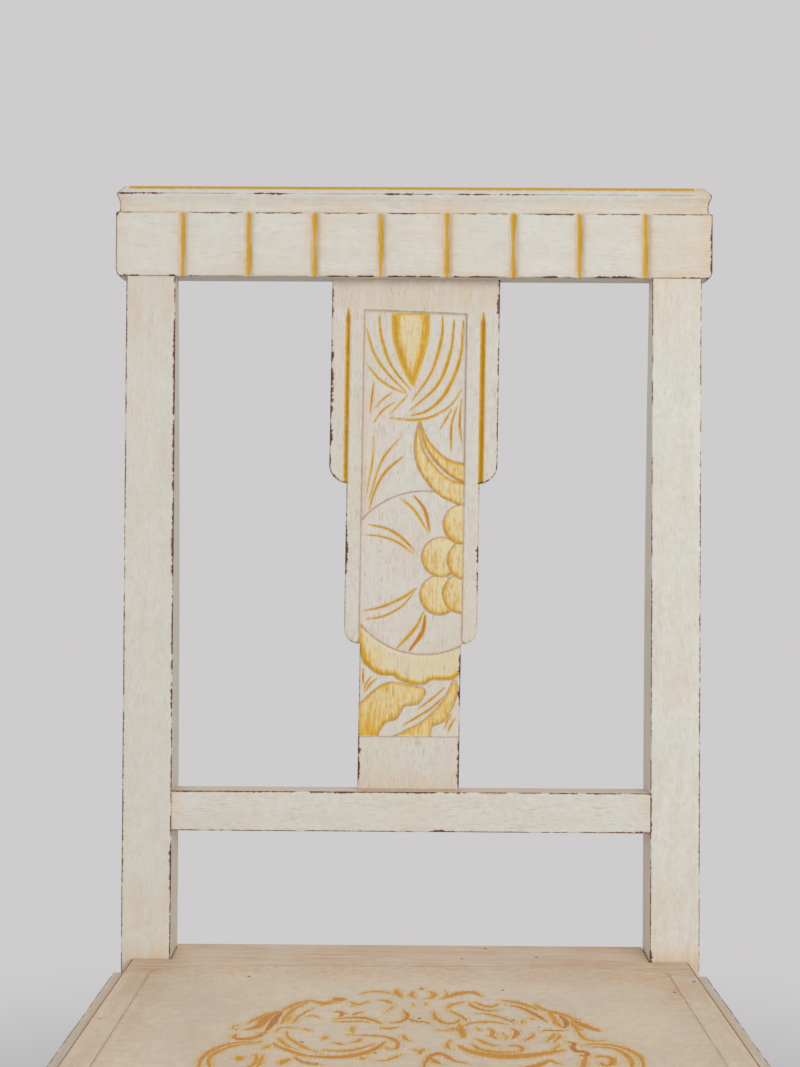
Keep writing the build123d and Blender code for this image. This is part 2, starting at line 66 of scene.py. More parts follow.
Socket = bpy.types.NodeSocket
Material = bpy.types.Material


class Grain(Enum):
    """Which way the brush and the wood's grain run, as a stretch of the texture's space."""

    UPRIGHT = (1.0, 1.0, 0.1)
    ACROSS = (0.1, 1.0, 1.0)
    DEEP = (1.0, 0.1, 1.0)
    EVEN = (0.8, 0.8, 0.8)


class End(Enum):
    """How the end of a bar is finished."""

    FREE = 1.0        # eased and worn
    BUTTED = 0.0      # hard against its neighbour


# ---------------------------------------------------------------- places
@dataclass(frozen=True)
class Setting:
    """The places that every sub-assembly is measured from, read from the frame.

    Attributes:
        post_front: y of the posts' front faces at the seat.
        seat_top: z of the top of the seat.
        rake: Lean of the back, in radians.
    """

    post_front: float
    seat_top: float
    rake: float = math.radians(3.2)

    @classmethod
    def measure(cls) -> "Setting":
        """Read the reference places from the frame's own boxes."""
        return cls(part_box("rear_post_right")[0].y / MM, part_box("seat_panel")[1].z / MM)

    def at(self, x: object, y: object, z: object) -> Array:
        """Turn places measured from the seat's corner of reference into the row frame.

        Args:
            x: Across the chair.
            y: Behind the posts' front faces at the seat.
            z: Above the seat.

        Returns:
            Places (n, 3) in the row frame, in millimetres.
        """
        places = np.broadcast_arrays(*(np.asarray(v, float) for v in (x, y, z)))
        return np.stack(places, axis=-1) + np.array([0.0, self.post_front, self.seat_top])

    def on_back(self, x: Array, s: Array, d: Array) -> Array:
        """Turn places on the raked back into the row frame.

        Args:
            x: Across the chair.
            s: Up the posts.
            d: Behind the posts' front faces.

        Returns:
            Places (n, 3) in the row frame, in millimetres.
        """
        cos, sin = math.cos(self.rake), math.sin(self.rake)
        return self.at(x, s * sin + d * cos, s * cos - d * sin)


# ---------------------------------------------------------------- mesh making
def make_piece(name: str, skin: Skin, node: str, material: Material, body: str = FRAME_BODY,
               crease: float = 38.0) -> None:
    """Make a mesh object, weld it, turn its faces outwards, hang it on its body and dress it.

    Args:
        name: The piece's name.
        skin: Vertices (n, 3) in the row frame, in millimetres, faces, and numbers for each vertex.
        node: The CAD node that it stands for.
        material: Its finish.
        body: The body that the piece rides on.
        crease: Edges that turn by more than this, in degrees, stay crisp.
    """
    points, faces, values = skin
    mesh = bpy.data.meshes.new(name)
    mesh.from_pydata((np.asarray(points, float) * MM).tolist(), [], [list(f) for f in faces])
    for key, data in values.items():
        mesh.attributes.new(key, "FLOAT", "POINT").data.foreach_set("value", np.asarray(data, np.float32))
    work = bmesh.new()
    work.from_mesh(mesh)
    bmesh.ops.remove_doubles(work, verts=work.verts, dist=2e-6)
    bmesh.ops.dissolve_degenerate(work, edges=work.edges, dist=1e-6)
    bmesh.ops.recalc_face_normals(work, faces=work.faces)
    work.to_mesh(mesh)
    work.free()
    mesh.shade_smooth()
    mesh.set_sharp_from_angle(angle=math.radians(crease))
    piece = bpy.data.objects.new(name, mesh)
    bpy.context.scene.collection.objects.link(piece)
    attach(piece, body)
    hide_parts(node)
    dress(piece, material)
    LOG.info("%s, %d faces", name, len(mesh.polygons))


def dress(piece: bpy.types.Object, material: Material) -> None:
    """Give a piece its finish."""
    piece.data.materials.clear()
    piece.data.materials.append(material)


def rectangle(x0: float, y0: float, x1: float, y1: float) -> Array:
    """Corners of a rectangle, counter-clockwise."""
    return np.array([(x0, y0), (x1, y0), (x1, y1), (x0, y1)])


def grid_quads(index: Array) -> Array:
    """The quads (n, 4) of a grid of vertex indices."""
    return np.stack([index[:-1, :-1], index[:-1, 1:], index[1:, 1:], index[1:, :-1]], -1).reshape(-1, 4)


def band(lower: Array, upper: Array) -> list[tuple[int, ...]]:
    """The quads between two closed rings of vertex indices."""
    return list(zip(lower, np.roll(lower, -1), np.roll(upper, -1), upper))


def quarter_round(share: Array) -> Array:
    """Drop of a quarter round of radius one, at a share of the radius from its edge."""
    return 1 - np.sqrt(np.clip(1 - (1 - share) ** 2, 0, 1))


def unit(v: Array) -> Array:
    """Scale plane vectors (n, 2) to length one."""
    return v / np.maximum(np.linalg.norm(v, axis=1, keepdims=True), 1e-9)


def rounded_ring(corners: Array, radius: float, inset: float, hold: float,
                 steps: int = 3) -> tuple[Array, Array]:
    """Round the outer corners of an outline and keep how far each point is from an arris.

    Args:
        corners: Outline (n, 2), counter-clockwise.
        radius: Radius of the outer corners.
        inset: How far the outline is drawn in before it is rounded.
        hold: Width of the strip beside each corner that wear may reach.
        steps: Segments of each rounded corner.

    Returns:
        The ring's points (m, 2) and their distances from the nearest arris (m,).
    """
    before, after = np.roll(corners, 1, axis=0), np.roll(corners, -1, axis=0)
    way_in, way_out = unit(corners - before), unit(after - corners)
    normal_in = np.stack([-way_in[:, 1], way_in[:, 0]], axis=1)
    normal_out = np.stack([-way_out[:, 1], way_out[:, 0]], axis=1)
    spread = 1.0 + np.sum(normal_in * normal_out, axis=1, keepdims=True)
    base = corners + inset * (normal_in + normal_out) / np.maximum(spread, 0.2)
    turn = np.arctan2(way_in[:, 0] * way_out[:, 1] - way_in[:, 1] * way_out[:, 0],
                      np.sum(way_in * way_out, axis=1))
    outer = turn > math.radians(25)
    half_in = 0.5 * np.linalg.norm(base - np.roll(base, 1, axis=0), axis=1)
    half_out = 0.5 * np.linalg.norm(base - np.roll(base, -1, axis=0), axis=1)
    round_off = np.where(outer, max(radius - inset, 0.02), 0.02)
    reach = np.minimum(round_off * np.tan(np.abs(turn) / 2), 0.8 * np.minimum(half_in, half_out))
    points, gaps = [], []
    for i in range(len(corners)):
        arc = round_off[i] * abs(turn[i]) / 2
        held_in = min(hold, 0.98 * (half_in[i] - reach[i]))
        held_out = min(hold, 0.98 * (half_out[i] - reach[i]))
        start, end = base[i] - way_in[i] * reach[i], base[i] + way_out[i] * reach[i]
        points.append(start - way_in[i] * held_in)
        gaps.append(arc + held_in if outer[i] else UNWORN)
        for k in range(steps + 1):
            u = k / steps
            points.append((1 - u) ** 2 * start + 2 * u * (1 - u) * base[i] + u ** 2 * end)
            gaps.append(arc * abs(2 * u - 1) if outer[i] else UNWORN)
        points.append(end + way_out[i] * held_out)
        gaps.append(arc + held_out if outer[i] else UNWORN)
    return np.array(points), np.array(gaps)


@dataclass(frozen=True)
class Spot:
    """A place along a bar, how far its effect reaches and how strong it is."""

    at: float
    reach: float
    strength: float = 1.0

    def share(self, t: float) -> float:
        """Strength at distance t along the bar."""
        return self.strength * max(0.0, 1.0 - abs(t - self.at) / self.reach)


@dataclass(frozen=True)
class Scuff:
    """A stretch of one arris that has been rubbed harder than the rest.

    Attributes:
        corner: Which corner of the section it lies on.
        start: Where the stretch starts along the bar.
        end: Where it ends.
        strength: How wide the wear is, in millimetres.
    """

    corner: int
    start: float
    end: float
    strength: float = 1.0

    def share(self, t: float) -> float:
        """Strength at distance t along the bar, fading at both ends."""
        fade = min(12.0, 0.4 * (self.end - self.start))
        return self.strength * float(np.clip(min(t - self.start, self.end - t) / fade + 0.5, 0.0, 1.0))


@dataclass
class Bar:
    """A solid drawn along a line, with eased arrises and a record of where they are.

    Attributes:
        section: Gives the corners (n, 2) and a function that sets plane points in the row
            frame, for a distance along the bar.
        length: Length of the bar.
        radius: Radius of its arrises.
        hold: Width of the strip beside an arris that wear may reach.
        ends: How the first and the last end are finished.
        pitch: Longest step between sections.
        seed: Sets how the radius wanders along the bar.
        breaks: Distances where a section must lie.
        nooks: Joints along the bar where glaze has collected.
        scuffs: Stretches where one arris is rubbed harder.
        grime: Painted shade on each whole side, from the first corner on, laid on in the glaze colour, for
            faces that get less light.
        steps: Segments of each rounded corner.
    """

    section: Callable[[float], Section]
    length: float
    radius: float = 0.9
    hold: float = 3.0
    ends: tuple[End, End] = (End.BUTTED, End.BUTTED)
    pitch: float = 8.0
    seed: float = 0.0
    breaks: tuple[float, ...] = ()
    nooks: tuple[Spot, ...] = ()
    scuffs: tuple[Scuff, ...] = ()
    grime: tuple[float, ...] = ()
    steps: int = 3

    @classmethod
    def even(cls, corners: Array, place: Callable[[float, Array], Array], length: float,
             **options: object) -> "Bar":
        """Make a bar of one section, set in the row frame by a function of the distance along it."""
        return cls(lambda t: (corners, lambda p: place(t, p)), length, **options)

    def end_stations(self, end: End) -> list[tuple[float, float, float]]:
        """Stations of one end, as distance in, inset and distance from the end's arris."""
        r = self.radius if end is End.FREE else 0.25
        worn = end is End.FREE
        stations = [(0.0, r + self.hold, r + self.hold if worn else UNWORN)]
        for k in range(4):
            turn = k * math.pi / 6
            gap = abs(turn - math.pi / 4) * r if worn else UNWORN
            stations.append((r * (1 - math.cos(turn)), r * (1 - math.sin(turn)), gap))
        stations.append((r + self.hold, 0.0, r + self.hold if worn else UNWORN))
        return stations

    def wander(self, t: float) -> float:
        """Radius of the arrises at distance t: hand-sanded, so never quite even."""
        wave = math.sin(t * 0.071 + self.seed) + 0.6 * math.sin(t * 0.193 + 2.1 * self.seed)
        return self.radius * (1.0 + 0.22 * wave)

    def build(self) -> Skin:
        """Build the bar.

        Returns:
            Its points, faces and vertex values.
        """
        first = self.end_stations(self.ends[0])
        last = [(self.length - t, i, g) for t, i, g in reversed(self.end_stations(self.ends[1]))]
        stops = sorted([first[-1][0], *self.breaks, last[0][0]])
        middle = []
        for a, b in zip(stops[:-1], stops[1:]):
            count = max(1, math.ceil((b - a) / self.pitch))
            middle += [(a + (b - a) * k / count, 0.0, UNWORN) for k in range(0 if middle else 1, count + 1)]
        middle = [m for m in middle if first[-1][0] + 0.5 < m[0] < last[0][0] - 0.5]
        rings, gaps, nook, scuff = [], [], [], []
        for t, inset, end_gap in first + middle + last:
            corners, place = self.section(t)
            ring, gap = rounded_ring(np.asarray(corners, float), self.wander(t), inset, self.hold, self.steps)
            rings.append(place(ring))
            flat = inset > self.radius + 0.01
            gaps.append(np.full(len(ring), end_gap) if flat else np.minimum(gap, end_gap))
            corner, step = np.divmod(np.arange(len(ring)), self.steps + 3)
            # Painted shade on whole sides, laid on as glaze.
            sides = np.asarray(self.grime or [0.0] * len(corners))
            nook.append(np.maximum(max([spot.share(t) for spot in self.nooks], default=0.0),
                                   sides[(corner - (step <= (self.steps + 2) // 2)) % len(sides)]))
            rub = np.zeros(len(ring))
            for mark in self.scuffs:
                rub = np.maximum(rub, np.where(corner == mark.corner, mark.share(t), 0.0))
            scuff.append(rub)
        points, faces, values = stitch(rings, gaps)
        values.update(nook=np.concatenate(nook), scuff=np.concatenate(scuff))
        return points, faces, values


def stitch(rings: list[Array], gaps: list[Array]) -> Skin:
    """Join rings of equal count into a closed skin with flat ends.

    Args:
        rings: Points (n, 3) of each ring, in order.
        gaps: Distance of each point from the nearest arris.

    Returns:
        Points, faces and vertex values.
    """
    count = len(rings[0])
    faces: list[tuple[int, ...]] = []
    for level in range(len(rings) - 1):
        ring = level * count + np.arange(count)
        faces += band(ring, ring + count)
    top = (len(rings) - 1) * count
    faces.append(tuple(range(count))[::-1])
    faces.append(tuple(range(top, top + count)))
    return np.concatenate(rings), faces, {"arris": np.concatenate(gaps)}


def plate(outline: Line, low: float, high: float, setting: Setting, radius: float, darkening: float) -> Skin:
    """Build an upright prism on a plan outline, with its arrises eased.

    Args:
        outline: Plan, counter-clockwise, from the seat's corner of reference.
        low: Underside, from the top of the seat.
        high: Top, from the top of the seat.
        setting: Where the chair's reference places are.
        radius: Radius of the arrises.
        darkening: How much glaze and painted shade it carries.

    Returns:
        Points, faces and vertex values.
    """
    bar = Bar.even(np.asarray(outline, float), lambda t, p: setting.at(p[:, 0], p[:, 1], low + t), high - low,
                   radius=radius, ends=(End.FREE, End.FREE), pitch=30.0)
    points, faces, values = bar.build()
    values["nook"] = np.full(len(points), darkening)
    return points, faces, values


# ---------------------------------------------------------------- curves in the plane
def flowing(points: Line, per_span: int = 10) -> Array:
    """Draw a smooth line through a few points (a Catmull-Rom curve).

    Args:
        points: The points that it passes through.
        per_span: Steps between one point and the next.

    Returns:
        Points (n, 2) along the line.
    """
    p = np.asarray(points, float)
    if len(p) == 2:
        return p[0] + (p[1] - p[0]) * np.linspace(0, 1, per_span + 1)[:, None]
    ext = np.vstack([2 * p[0] - p[1], p, 2 * p[-1] - p[-2]])
    u = np.linspace(0, 1, per_span, endpoint=False)[:, None]
    spans = []
    for i in range(len(p) - 1):
        a, b, c, d = ext[i:i + 4]
        spans.append(0.5 * (2 * b + (c - a) * u + (2 * a - 5 * b + 4 * c - d) * u ** 2
                            + (3 * b - a - 3 * c + d) * u ** 3))
    return np.vstack([*spans, p[-1:]])


def distance_to_line(at: Array, line: Array) -> tuple[Array, Array]:
    """Measure from points to a polyline.

    Args:
        at: Points (n, 2).
        line: Polyline (m, 2).

    Returns:
        The distance, and how far along the line the nearest place is, from 0 to 1.
    """
    best = np.full(len(at), 1e9)
    along = np.zeros(len(at))
    steps = np.linalg.norm(np.diff(line, axis=0), axis=1)
    walked = np.concatenate([[0.0], np.cumsum(steps)])
    total = max(walked[-1], 1e-9)
    for i, (a, b) in enumerate(zip(line[:-1], line[1:])):
        ab = b - a
        t = np.clip(((at - a) @ ab) / max(ab @ ab, 1e-12), 0.0, 1.0)
        gap = np.hypot(*(at - a - t[:, None] * ab).T)
        nearer = gap < best
        best = np.where(nearer, gap, best)
        along = np.where(nearer, (walked[i] + t * steps[i]) / total, along)
    return best, along


def inside(at: Array, loop: Array) -> Array:
    """Tell which points (n, 2) lie inside a closed loop (m, 2)."""
    x, y = at[:, 0], at[:, 1]
    hit = np.zeros(len(at), bool)
    for (x0, y0), (x1, y1) in zip(loop, np.roll(loop, -1, axis=0)):
        crosses = (y0 > y) != (y1 > y)
        hit ^= crosses & (x < (x1 - x0) * (y - y0) / (y1 - y0 if y1 != y0 else 1e-9) + x0)
    return hit


def smooth_step(low: float, high: float, value: float | Array) -> float | Array:
    """Rise smoothly from 0 at low to 1 at high."""
    t = np.clip((value - low) / (high - low), 0.0, 1.0)
    return t * t * (3 - 2 * t)


@dataclass(frozen=True)
class Stroke:
    """One tapering cut of the carver's tool, or one stroke of the stencil brush.

    Attributes:
        places: Places that its middle passes through, as x and y in turn.
        width: Full width at the fullest place.
        full: Where along it the stroke is fullest, from 0 to 1.
    """

    places: Sequence[float]
    width: float
    full: float = 0.5

    def measure(self, at: Array) -> tuple[Array, Array]:
        """Measure how deep points lie inside the stroke.

        Args:
            at: Points (n, 2).

        Returns:
            Distance inside the stroke's edge (negative outside), and its half width there.
        """
        line = flowing(list(zip(self.places[::2], self.places[1::2])))
        near = np.all((at > line.min(0) - 6) & (at < line.max(0) + 6), axis=1)
        result = np.full(len(at), FAR)
        half = np.full(len(at), 0.1)
        if near.any():
            gap, along = distance_to_line(at[near], line)
            rise = np.where(along < self.full, along / max(self.full, 1e-3),
                            (1 - along) / max(1 - self.full, 1e-3))
            size = 0.5 * self.width * (0.12 + 0.88 * np.sqrt(np.clip(rise, 0, 1)))
            result[near], half[near] = size - gap, size
        return result, half


# ---------------------------------------------------------------- shader node groups
@dataclass
class Wiring:
    """Short calls for placing and joining shader nodes in one tree."""

    tree: bpy.types.NodeTree

    @classmethod
    def of(cls, block: Material | bpy.types.World) -> "Wiring":
        """Clear the nodes of a material or a world, to wire it anew."""
        block.use_nodes = True
        block.node_tree.nodes.clear()
        return cls(block.node_tree)

    def node(self, kind: str, sources: dict[str | int, object] | None = None, **options: object
             ) -> bpy.types.Node:
        """Add a node, set its options and feed its inputs."""
        made = self.tree.nodes.new(f"ShaderNode{kind}")
        for key, value in options.items():
            setattr(made, key, value)
        for key, source in (sources or {}).items():
            self.feed(made.inputs[key], source)
        return made

    def feed(self, socket: Socket, source: object) -> None:
        """Link a socket, or set its value where the source is a plain value."""
        if isinstance(source, bpy.types.NodeSocket):
            self.tree.links.new(source, socket)
        else:
            socket.default_value = source

    def math(self, operation: str, a: object, b: object = 0.0, clamp: bool = False) -> Socket:
        """Combine two numbers."""
        return self.node("Math", {0: a, 1: b}, operation=operation, use_clamp=clamp).outputs[0]

    def times(self, a: object, b: object, clamp: bool = False) -> Socket:
        """Multiply two numbers."""
        return self.math("MULTIPLY", a, b, clamp)

    def plus(self, a: object, b: object, clamp: bool = False) -> Socket:
        """Add two numbers."""
        return self.math("ADD", a, b, clamp)

    def minus(self, a: object, b: object) -> Socket:
        """Take one number from another."""
        return self.math("SUBTRACT", a, b)

    def ramp(self, value: object, low: float, high: float, to_low: float = 0.0, to_high: float = 1.0
             ) -> Socket:
        """Map a number smoothly from one range to another."""
        return self.node("MapRange", {"Value": value, "From Min": low, "From Max": high, "To Min": to_low,
                                      "To Max": to_high}, interpolation_type="SMOOTHSTEP").outputs["Result"]

    def mix(self, amount: object, a: object, b: object) -> Socket:
        """Mix two colours."""
        return self.node("Mix", {0: amount, 6: a, 7: b}, data_type="RGBA").outputs[2]

    def noise(self, vector: object, scale: object, detail: float = 3.0, roughness: float = 0.55) -> Socket:
        """Add a noise texture and give its value."""
        return self.node("TexNoise", {"Vector": vector, "Scale": scale, "Detail": detail,
                                      "Roughness": roughness}).outputs["Fac"]

    def value_of(self, name: str) -> Socket:
        """Read one of the mesh's named vertex values."""
        return self.node("Attribute", attribute_name=name).outputs["Fac"]

    def stretched(self, place: Socket, scale: tuple[float, float, float]) -> Socket:
        """Stretch the texture's space along the grain."""
        return self.node("Mapping", {"Scale": scale, "Vector": place}).outputs["Vector"]

    def bumped(self, height: Socket, strength: float, distance: float) -> Socket:
        """Turn a height into a normal."""
        return self.node("Bump", {"Strength": strength, "Distance": distance, "Height": height}
                         ).outputs["Normal"]

    def placed(self, group: bpy.types.NodeTree, **sources: object) -> bpy.types.NodeOutputs:
        """Place a node group, feed its inputs by name and give its outputs."""
        fed = {key.title(): source for key, source in sources.items()}
        return self.node("Group", fed, node_tree=group).outputs

    def close(self, shader: bpy.types.Node, kind: str = "OutputMaterial") -> None:
        """Join the last shader to the tree's output."""
        self.node(kind, {"Surface": shader.outputs[0]})


def new_group(name: str, inputs: dict[str, float | None], outputs: Sequence[str]
              ) -> tuple[Wiring, bpy.types.NodeOutputs, bpy.types.NodeInputs]:
    """Start a shader node group with named sockets.

    Args:
        name: The group's name.
        inputs: Default of each number that it takes, or None for a vector.
        outputs: Names of the numbers that it gives.

    Returns:
        Its wiring, the sockets that it takes and the sockets that it gives.
    """
    group = bpy.data.node_groups.new(name, "ShaderNodeTree")
    for key, value in inputs.items():
        kind = "NodeSocketVector" if value is None else "NodeSocketFloat"
        socket = group.interface.new_socket(key, in_out="INPUT", socket_type=kind)
        if value is not None:
            socket.default_value = value
    for key in outputs:
        group.interface.new_socket(key, in_out="OUTPUT", socket_type="NodeSocketFloat")
    taken, given = group.nodes.new("NodeGroupInput"), group.nodes.new("NodeGroupOutput")
    return Wiring(group), taken.outputs, given.inputs


class Workshop:
    """Builds the shared node groups once and hands them to the finishes."""

    def __init__(self) -> None:
        """Build the groups."""
        self.brushwork = self.make_brushwork()
        self.wear = self.make_wear()
        self.glaze = self.make_glaze_and_shade()
        self.gilding = self.make_gilding()

    @staticmethod
    def make_brushwork() -> bpy.types.NodeTree:
        """Streaks left by a dry brush along the grain.

        Returns:
            A group that gives the streaks, fine flecks and a height.
        """
        w, taken, given = new_group("dry_brushwork", {"Along": None, "Place": None},
                                    ("Streak", "Fleck", "Height"))
        broad = w.noise(taken["Along"], 150.0, 2.0, 0.6)
        hairs = w.noise(taken["Along"], 1300.0, 3.0, 0.75)
        dabs = w.noise(taken["Place"], 210.0, 4.0, 0.7)
        streak = w.plus(w.times(broad, 0.2), w.plus(w.times(hairs, 0.4), w.times(dabs, 0.4)))
        sparse = w.ramp(w.noise(taken["Place"], 70.0, 3.0), 0.38, 0.6, 0.2, 1.0)
        w.feed(given["Streak"], w.ramp(streak, 0.42, 0.6))
        w.feed(given["Fleck"], w.times(w.ramp(hairs, 0.55, 0.65), sparse))
        w.feed(given["Height"], w.plus(w.times(hairs, 0.8), w.times(dabs, 0.4)))
        return w.tree

    @staticmethod
    def make_wear() -> bpy.types.NodeTree:
        """Paint rubbed through to dark wood beside the arrises.

        Returns:
            A group that gives the bare chip and the thin brown rub around it.
        """
        w, taken, given = new_group(
            "worn_arris", {"Arris": UNWORN, "Scuff": 0.0, "Place": None, "Line": 0.4}, ("Chip", "Rub"))
        place = taken["Place"]
        ragged = w.noise(place, 520.0, 3.0, 0.6)
        thin = w.ramp(w.noise(place, 60.0, 4.0, 0.65), 0.36, 0.52)
        hard = w.times(taken["Scuff"], w.ramp(w.noise(place, 150.0, 4.0, 0.7), 0.4, 0.6, 0.1, 1.6))
        total = w.plus(w.times(thin, taken["Line"]), hard)
        tear = w.times(w.minus(ragged, 0.5), w.ramp(total, 0.0, 0.9, 0.0, 2.4))
        depth = w.minus(w.plus(total, tear), taken["Arris"])
        w.feed(given["Chip"], w.ramp(depth, -0.05, 0.2))
        w.feed(given["Rub"], w.ramp(w.plus(depth, w.ramp(total, 0.0, 0.7, 0.3, 0.75)), 0.0, 1.1))
        return w.tree

    @staticmethod
    def make_glaze_and_shade() -> bpy.types.NodeTree:
        """Warm antiquing glaze, wiped back unevenly, which also lays on painted shade where the mesh asks for
        it.

        Returns:
            A group that gives the mask of glaze and painted shade, and a cool-warm drift.
        """
        w, taken, given = new_group("wiped_glaze_and_shade", {"Place": None, "Along": None, "Amount": 0.3, "Nook": 0.0},
                                    ("Glaze_And_Shade_Mask", "Drift"))
        cloud = w.noise(taken["Place"], 14.0, 5.0, 0.65)
        rubbed = w.noise(taken["Along"], 230.0, 4.0, 0.7)
        both = w.plus(w.times(cloud, 0.6), w.times(rubbed, 0.4))
        mask = w.times(w.ramp(both, 0.42, 0.64), taken["Amount"])
        # The mesh's vertex value adds glaze at the joints and painted shade where less light falls.
        darkened = w.times(taken["Nook"], w.ramp(rubbed, 0.3, 0.62, 0.45, 1.15))
        w.feed(given["Glaze_And_Shade_Mask"], w.plus(mask, darkened, clamp=True))
        w.feed(given["Drift"], w.ramp(w.noise(taken["Place"], 27.0, 3.0), 0.35, 0.65))
        return w.tree

    @staticmethod
    def make_gilding() -> bpy.types.NodeTree:
        """Mustard colour laid on with a nearly dry brush.

        Returns:
            A group that gives the colour's mask and how deep its tone is.
        """
        w, taken, given = new_group(
            "dry_gilding", {"Depth": FAR, "Along": None, "Place": None, "Ragged": 0.5, "Cover": 0.9,
                            "Fineness": 520.0, "Lines": 0.0}, ("Mask", "Tone"))
        streak = w.noise(taken["Along"], taken["Fineness"], 2.0, 0.7)
        patch = w.noise(taken["Place"], w.times(taken["Fineness"], 0.46), 3.0, 0.65)
        torn = w.plus(w.times(w.minus(streak, 0.5), 1.6), w.times(w.minus(patch, 0.5), 1.4))
        edge = w.plus(taken["Depth"], w.times(torn, taken["Ragged"]))
        solid = w.ramp(edge, -0.35, 0.3)
        cover = w.plus(taken["Cover"], w.times(w.minus(streak, 0.5), 0.9), clamp=True)
        wave = w.math("SINE", w.plus(w.times(taken["Depth"], 6.0), w.times(patch, 9.0)))
        bare_line = w.times(w.ramp(wave, 0.7, -0.5), taken["Lines"])
        cover = w.times(cover, w.minus(1.0, bare_line))
        w.feed(given["Mask"], w.times(solid, cover, clamp=True))
        w.feed(given["Tone"], w.ramp(w.plus(patch, w.times(taken["Depth"], 0.25)), 0.38, 0.85))
        return w.tree


# ---------------------------------------------------------------- finishes
Colour = tuple[float, float, float, float]


def tone(red: int, green: int, blue: int) -> Colour:
    """Turn a paint chart's 0-255 colour into the shader's linear colour."""
    def linear(c: int) -> float:
        """One channel."""
        v = c / 255
        return v / 12.92 if v <= 0.04045 else ((v + 0.055) / 1.055) ** 2.4
    return linear(red), linear(green), linear(blue), 1.0


@dataclass(frozen=True)
class WornPaint:
    """Chalky paint over dark-stained wood, with an antiquing glaze that also lays on painted shade, wiped and
    rubbed through at the arrises.

    Attributes:
        name: The material's name.
        grain: Which way the brush ran.
        cream: The paint.
        glaze: The antiquing colour, which is also the colour of the painted shade, and the glaze's amount
            below.
        line: Width of the thin worn line along every arris, in millimetres.
        shade: Colour of the brush's streaks, and their amount below.
        cool: The greener grey that the paint drifts to.
        bare: The stained wood, with the thinned paint beside it and the fine hairlines below.
        flecks: Strength of the fine brown hairlines.
        specks: Strength of the small dark dots.
    """

    name: str
    grain: Grain
    cream: Colour = tone(217, 216, 209)
    glaze: Colour = tone(212, 186, 156)
    amount: float = 0.3
    line: float = 0.75
    shade: Colour = tone(198, 192, 178)
    cool: Colour = tone(206, 208, 198)
    bare: Colour = tone(84, 50, 36)
    rub: Colour = tone(176, 134, 104)
    hair: Colour = tone(164, 134, 108)
    streaks: float = 0.5
    flecks: float = 0.22
    specks: float = 0.0

    def start(self, shop: Workshop) -> tuple[Material, Wiring, dict[str, Socket]]:
        """Lay down paint, glaze with its painted shade, and streaks.

        Args:
            shop: The shared node groups.

        Returns:
            The material, its wiring and the sockets that later coats build on.
        """
        material = bpy.data.materials.new(self.name)
        w = Wiring.of(material)
        place = w.node("TexCoord").outputs["Object"]
        along = w.stretched(place, self.grain.value)
        brush = w.placed(shop.brushwork, along=along, place=place)
        # The glaze also lays on painted shade where the mesh's vertex values ask for it.
        glaze = w.placed(shop.glaze, place=place, along=along, amount=self.amount, nook=w.value_of("nook"))
        colour = w.mix(glaze["Glaze_And_Shade_Mask"], self.cream, self.glaze)
        colour = w.mix(w.times(glaze["Drift"], 0.4), colour, self.cool)
        colour = w.mix(w.times(brush["Streak"], self.streaks), colour, self.shade)
        if self.specks:
            spots = w.node("TexVoronoi", {"Vector": place, "Scale": 26.0}, voronoi_dimensions="2D")
            dot = w.ramp(spots.outputs["Distance"], 0.024, 0.035, 1.0, 0.0)
            chosen = w.ramp(w.noise(place, 17.0), 0.52, 0.58)
            colour = w.mix(w.times(w.times(dot, chosen), self.specks), colour, self.bare)
        return material, w, {"colour": colour, "place": place, "along": along, "height": brush["Height"],
                             "fleck": brush["Fleck"]}

    def finish(self, shop: Workshop, w: Wiring, coat: dict[str, Socket]) -> None:
        """Wear the arrises through and close the material.

        Args:
            shop: The shared node groups.
            w: The material's wiring.
            coat: The sockets from start, with the last colour.
        """
        worn = w.placed(shop.wear, arris=w.value_of("arris"), scuff=w.value_of("scuff"), place=coat["place"],
                        line=self.line)
        colour = w.mix(w.times(coat["fleck"], self.flecks), coat["colour"], self.hair)
        colour = w.mix(w.times(worn["Rub"], 0.6), colour, self.rub)
        wood = w.mix(w.noise(coat["along"], 260.0, 2.0), self.bare, tone(104, 66, 44))
        height = w.minus(w.times(coat["height"], 0.10), w.times(worn["Chip"], 0.35))
        w.close(w.node("BsdfPrincipled", {
            "Base Color": w.mix(worn["Chip"], colour, wood), "Normal": w.bumped(height, 0.5, 0.0006),
            "Roughness": w.ramp(worn["Chip"], 0.0, 1.0, 0.62, 0.48), "Specular IOR Level": 0.35}))

    def make(self, shop: Workshop) -> Material:
        """Make the finished material."""
        material, w, coat = self.start(shop)
        self.finish(shop, w, coat)
        return material


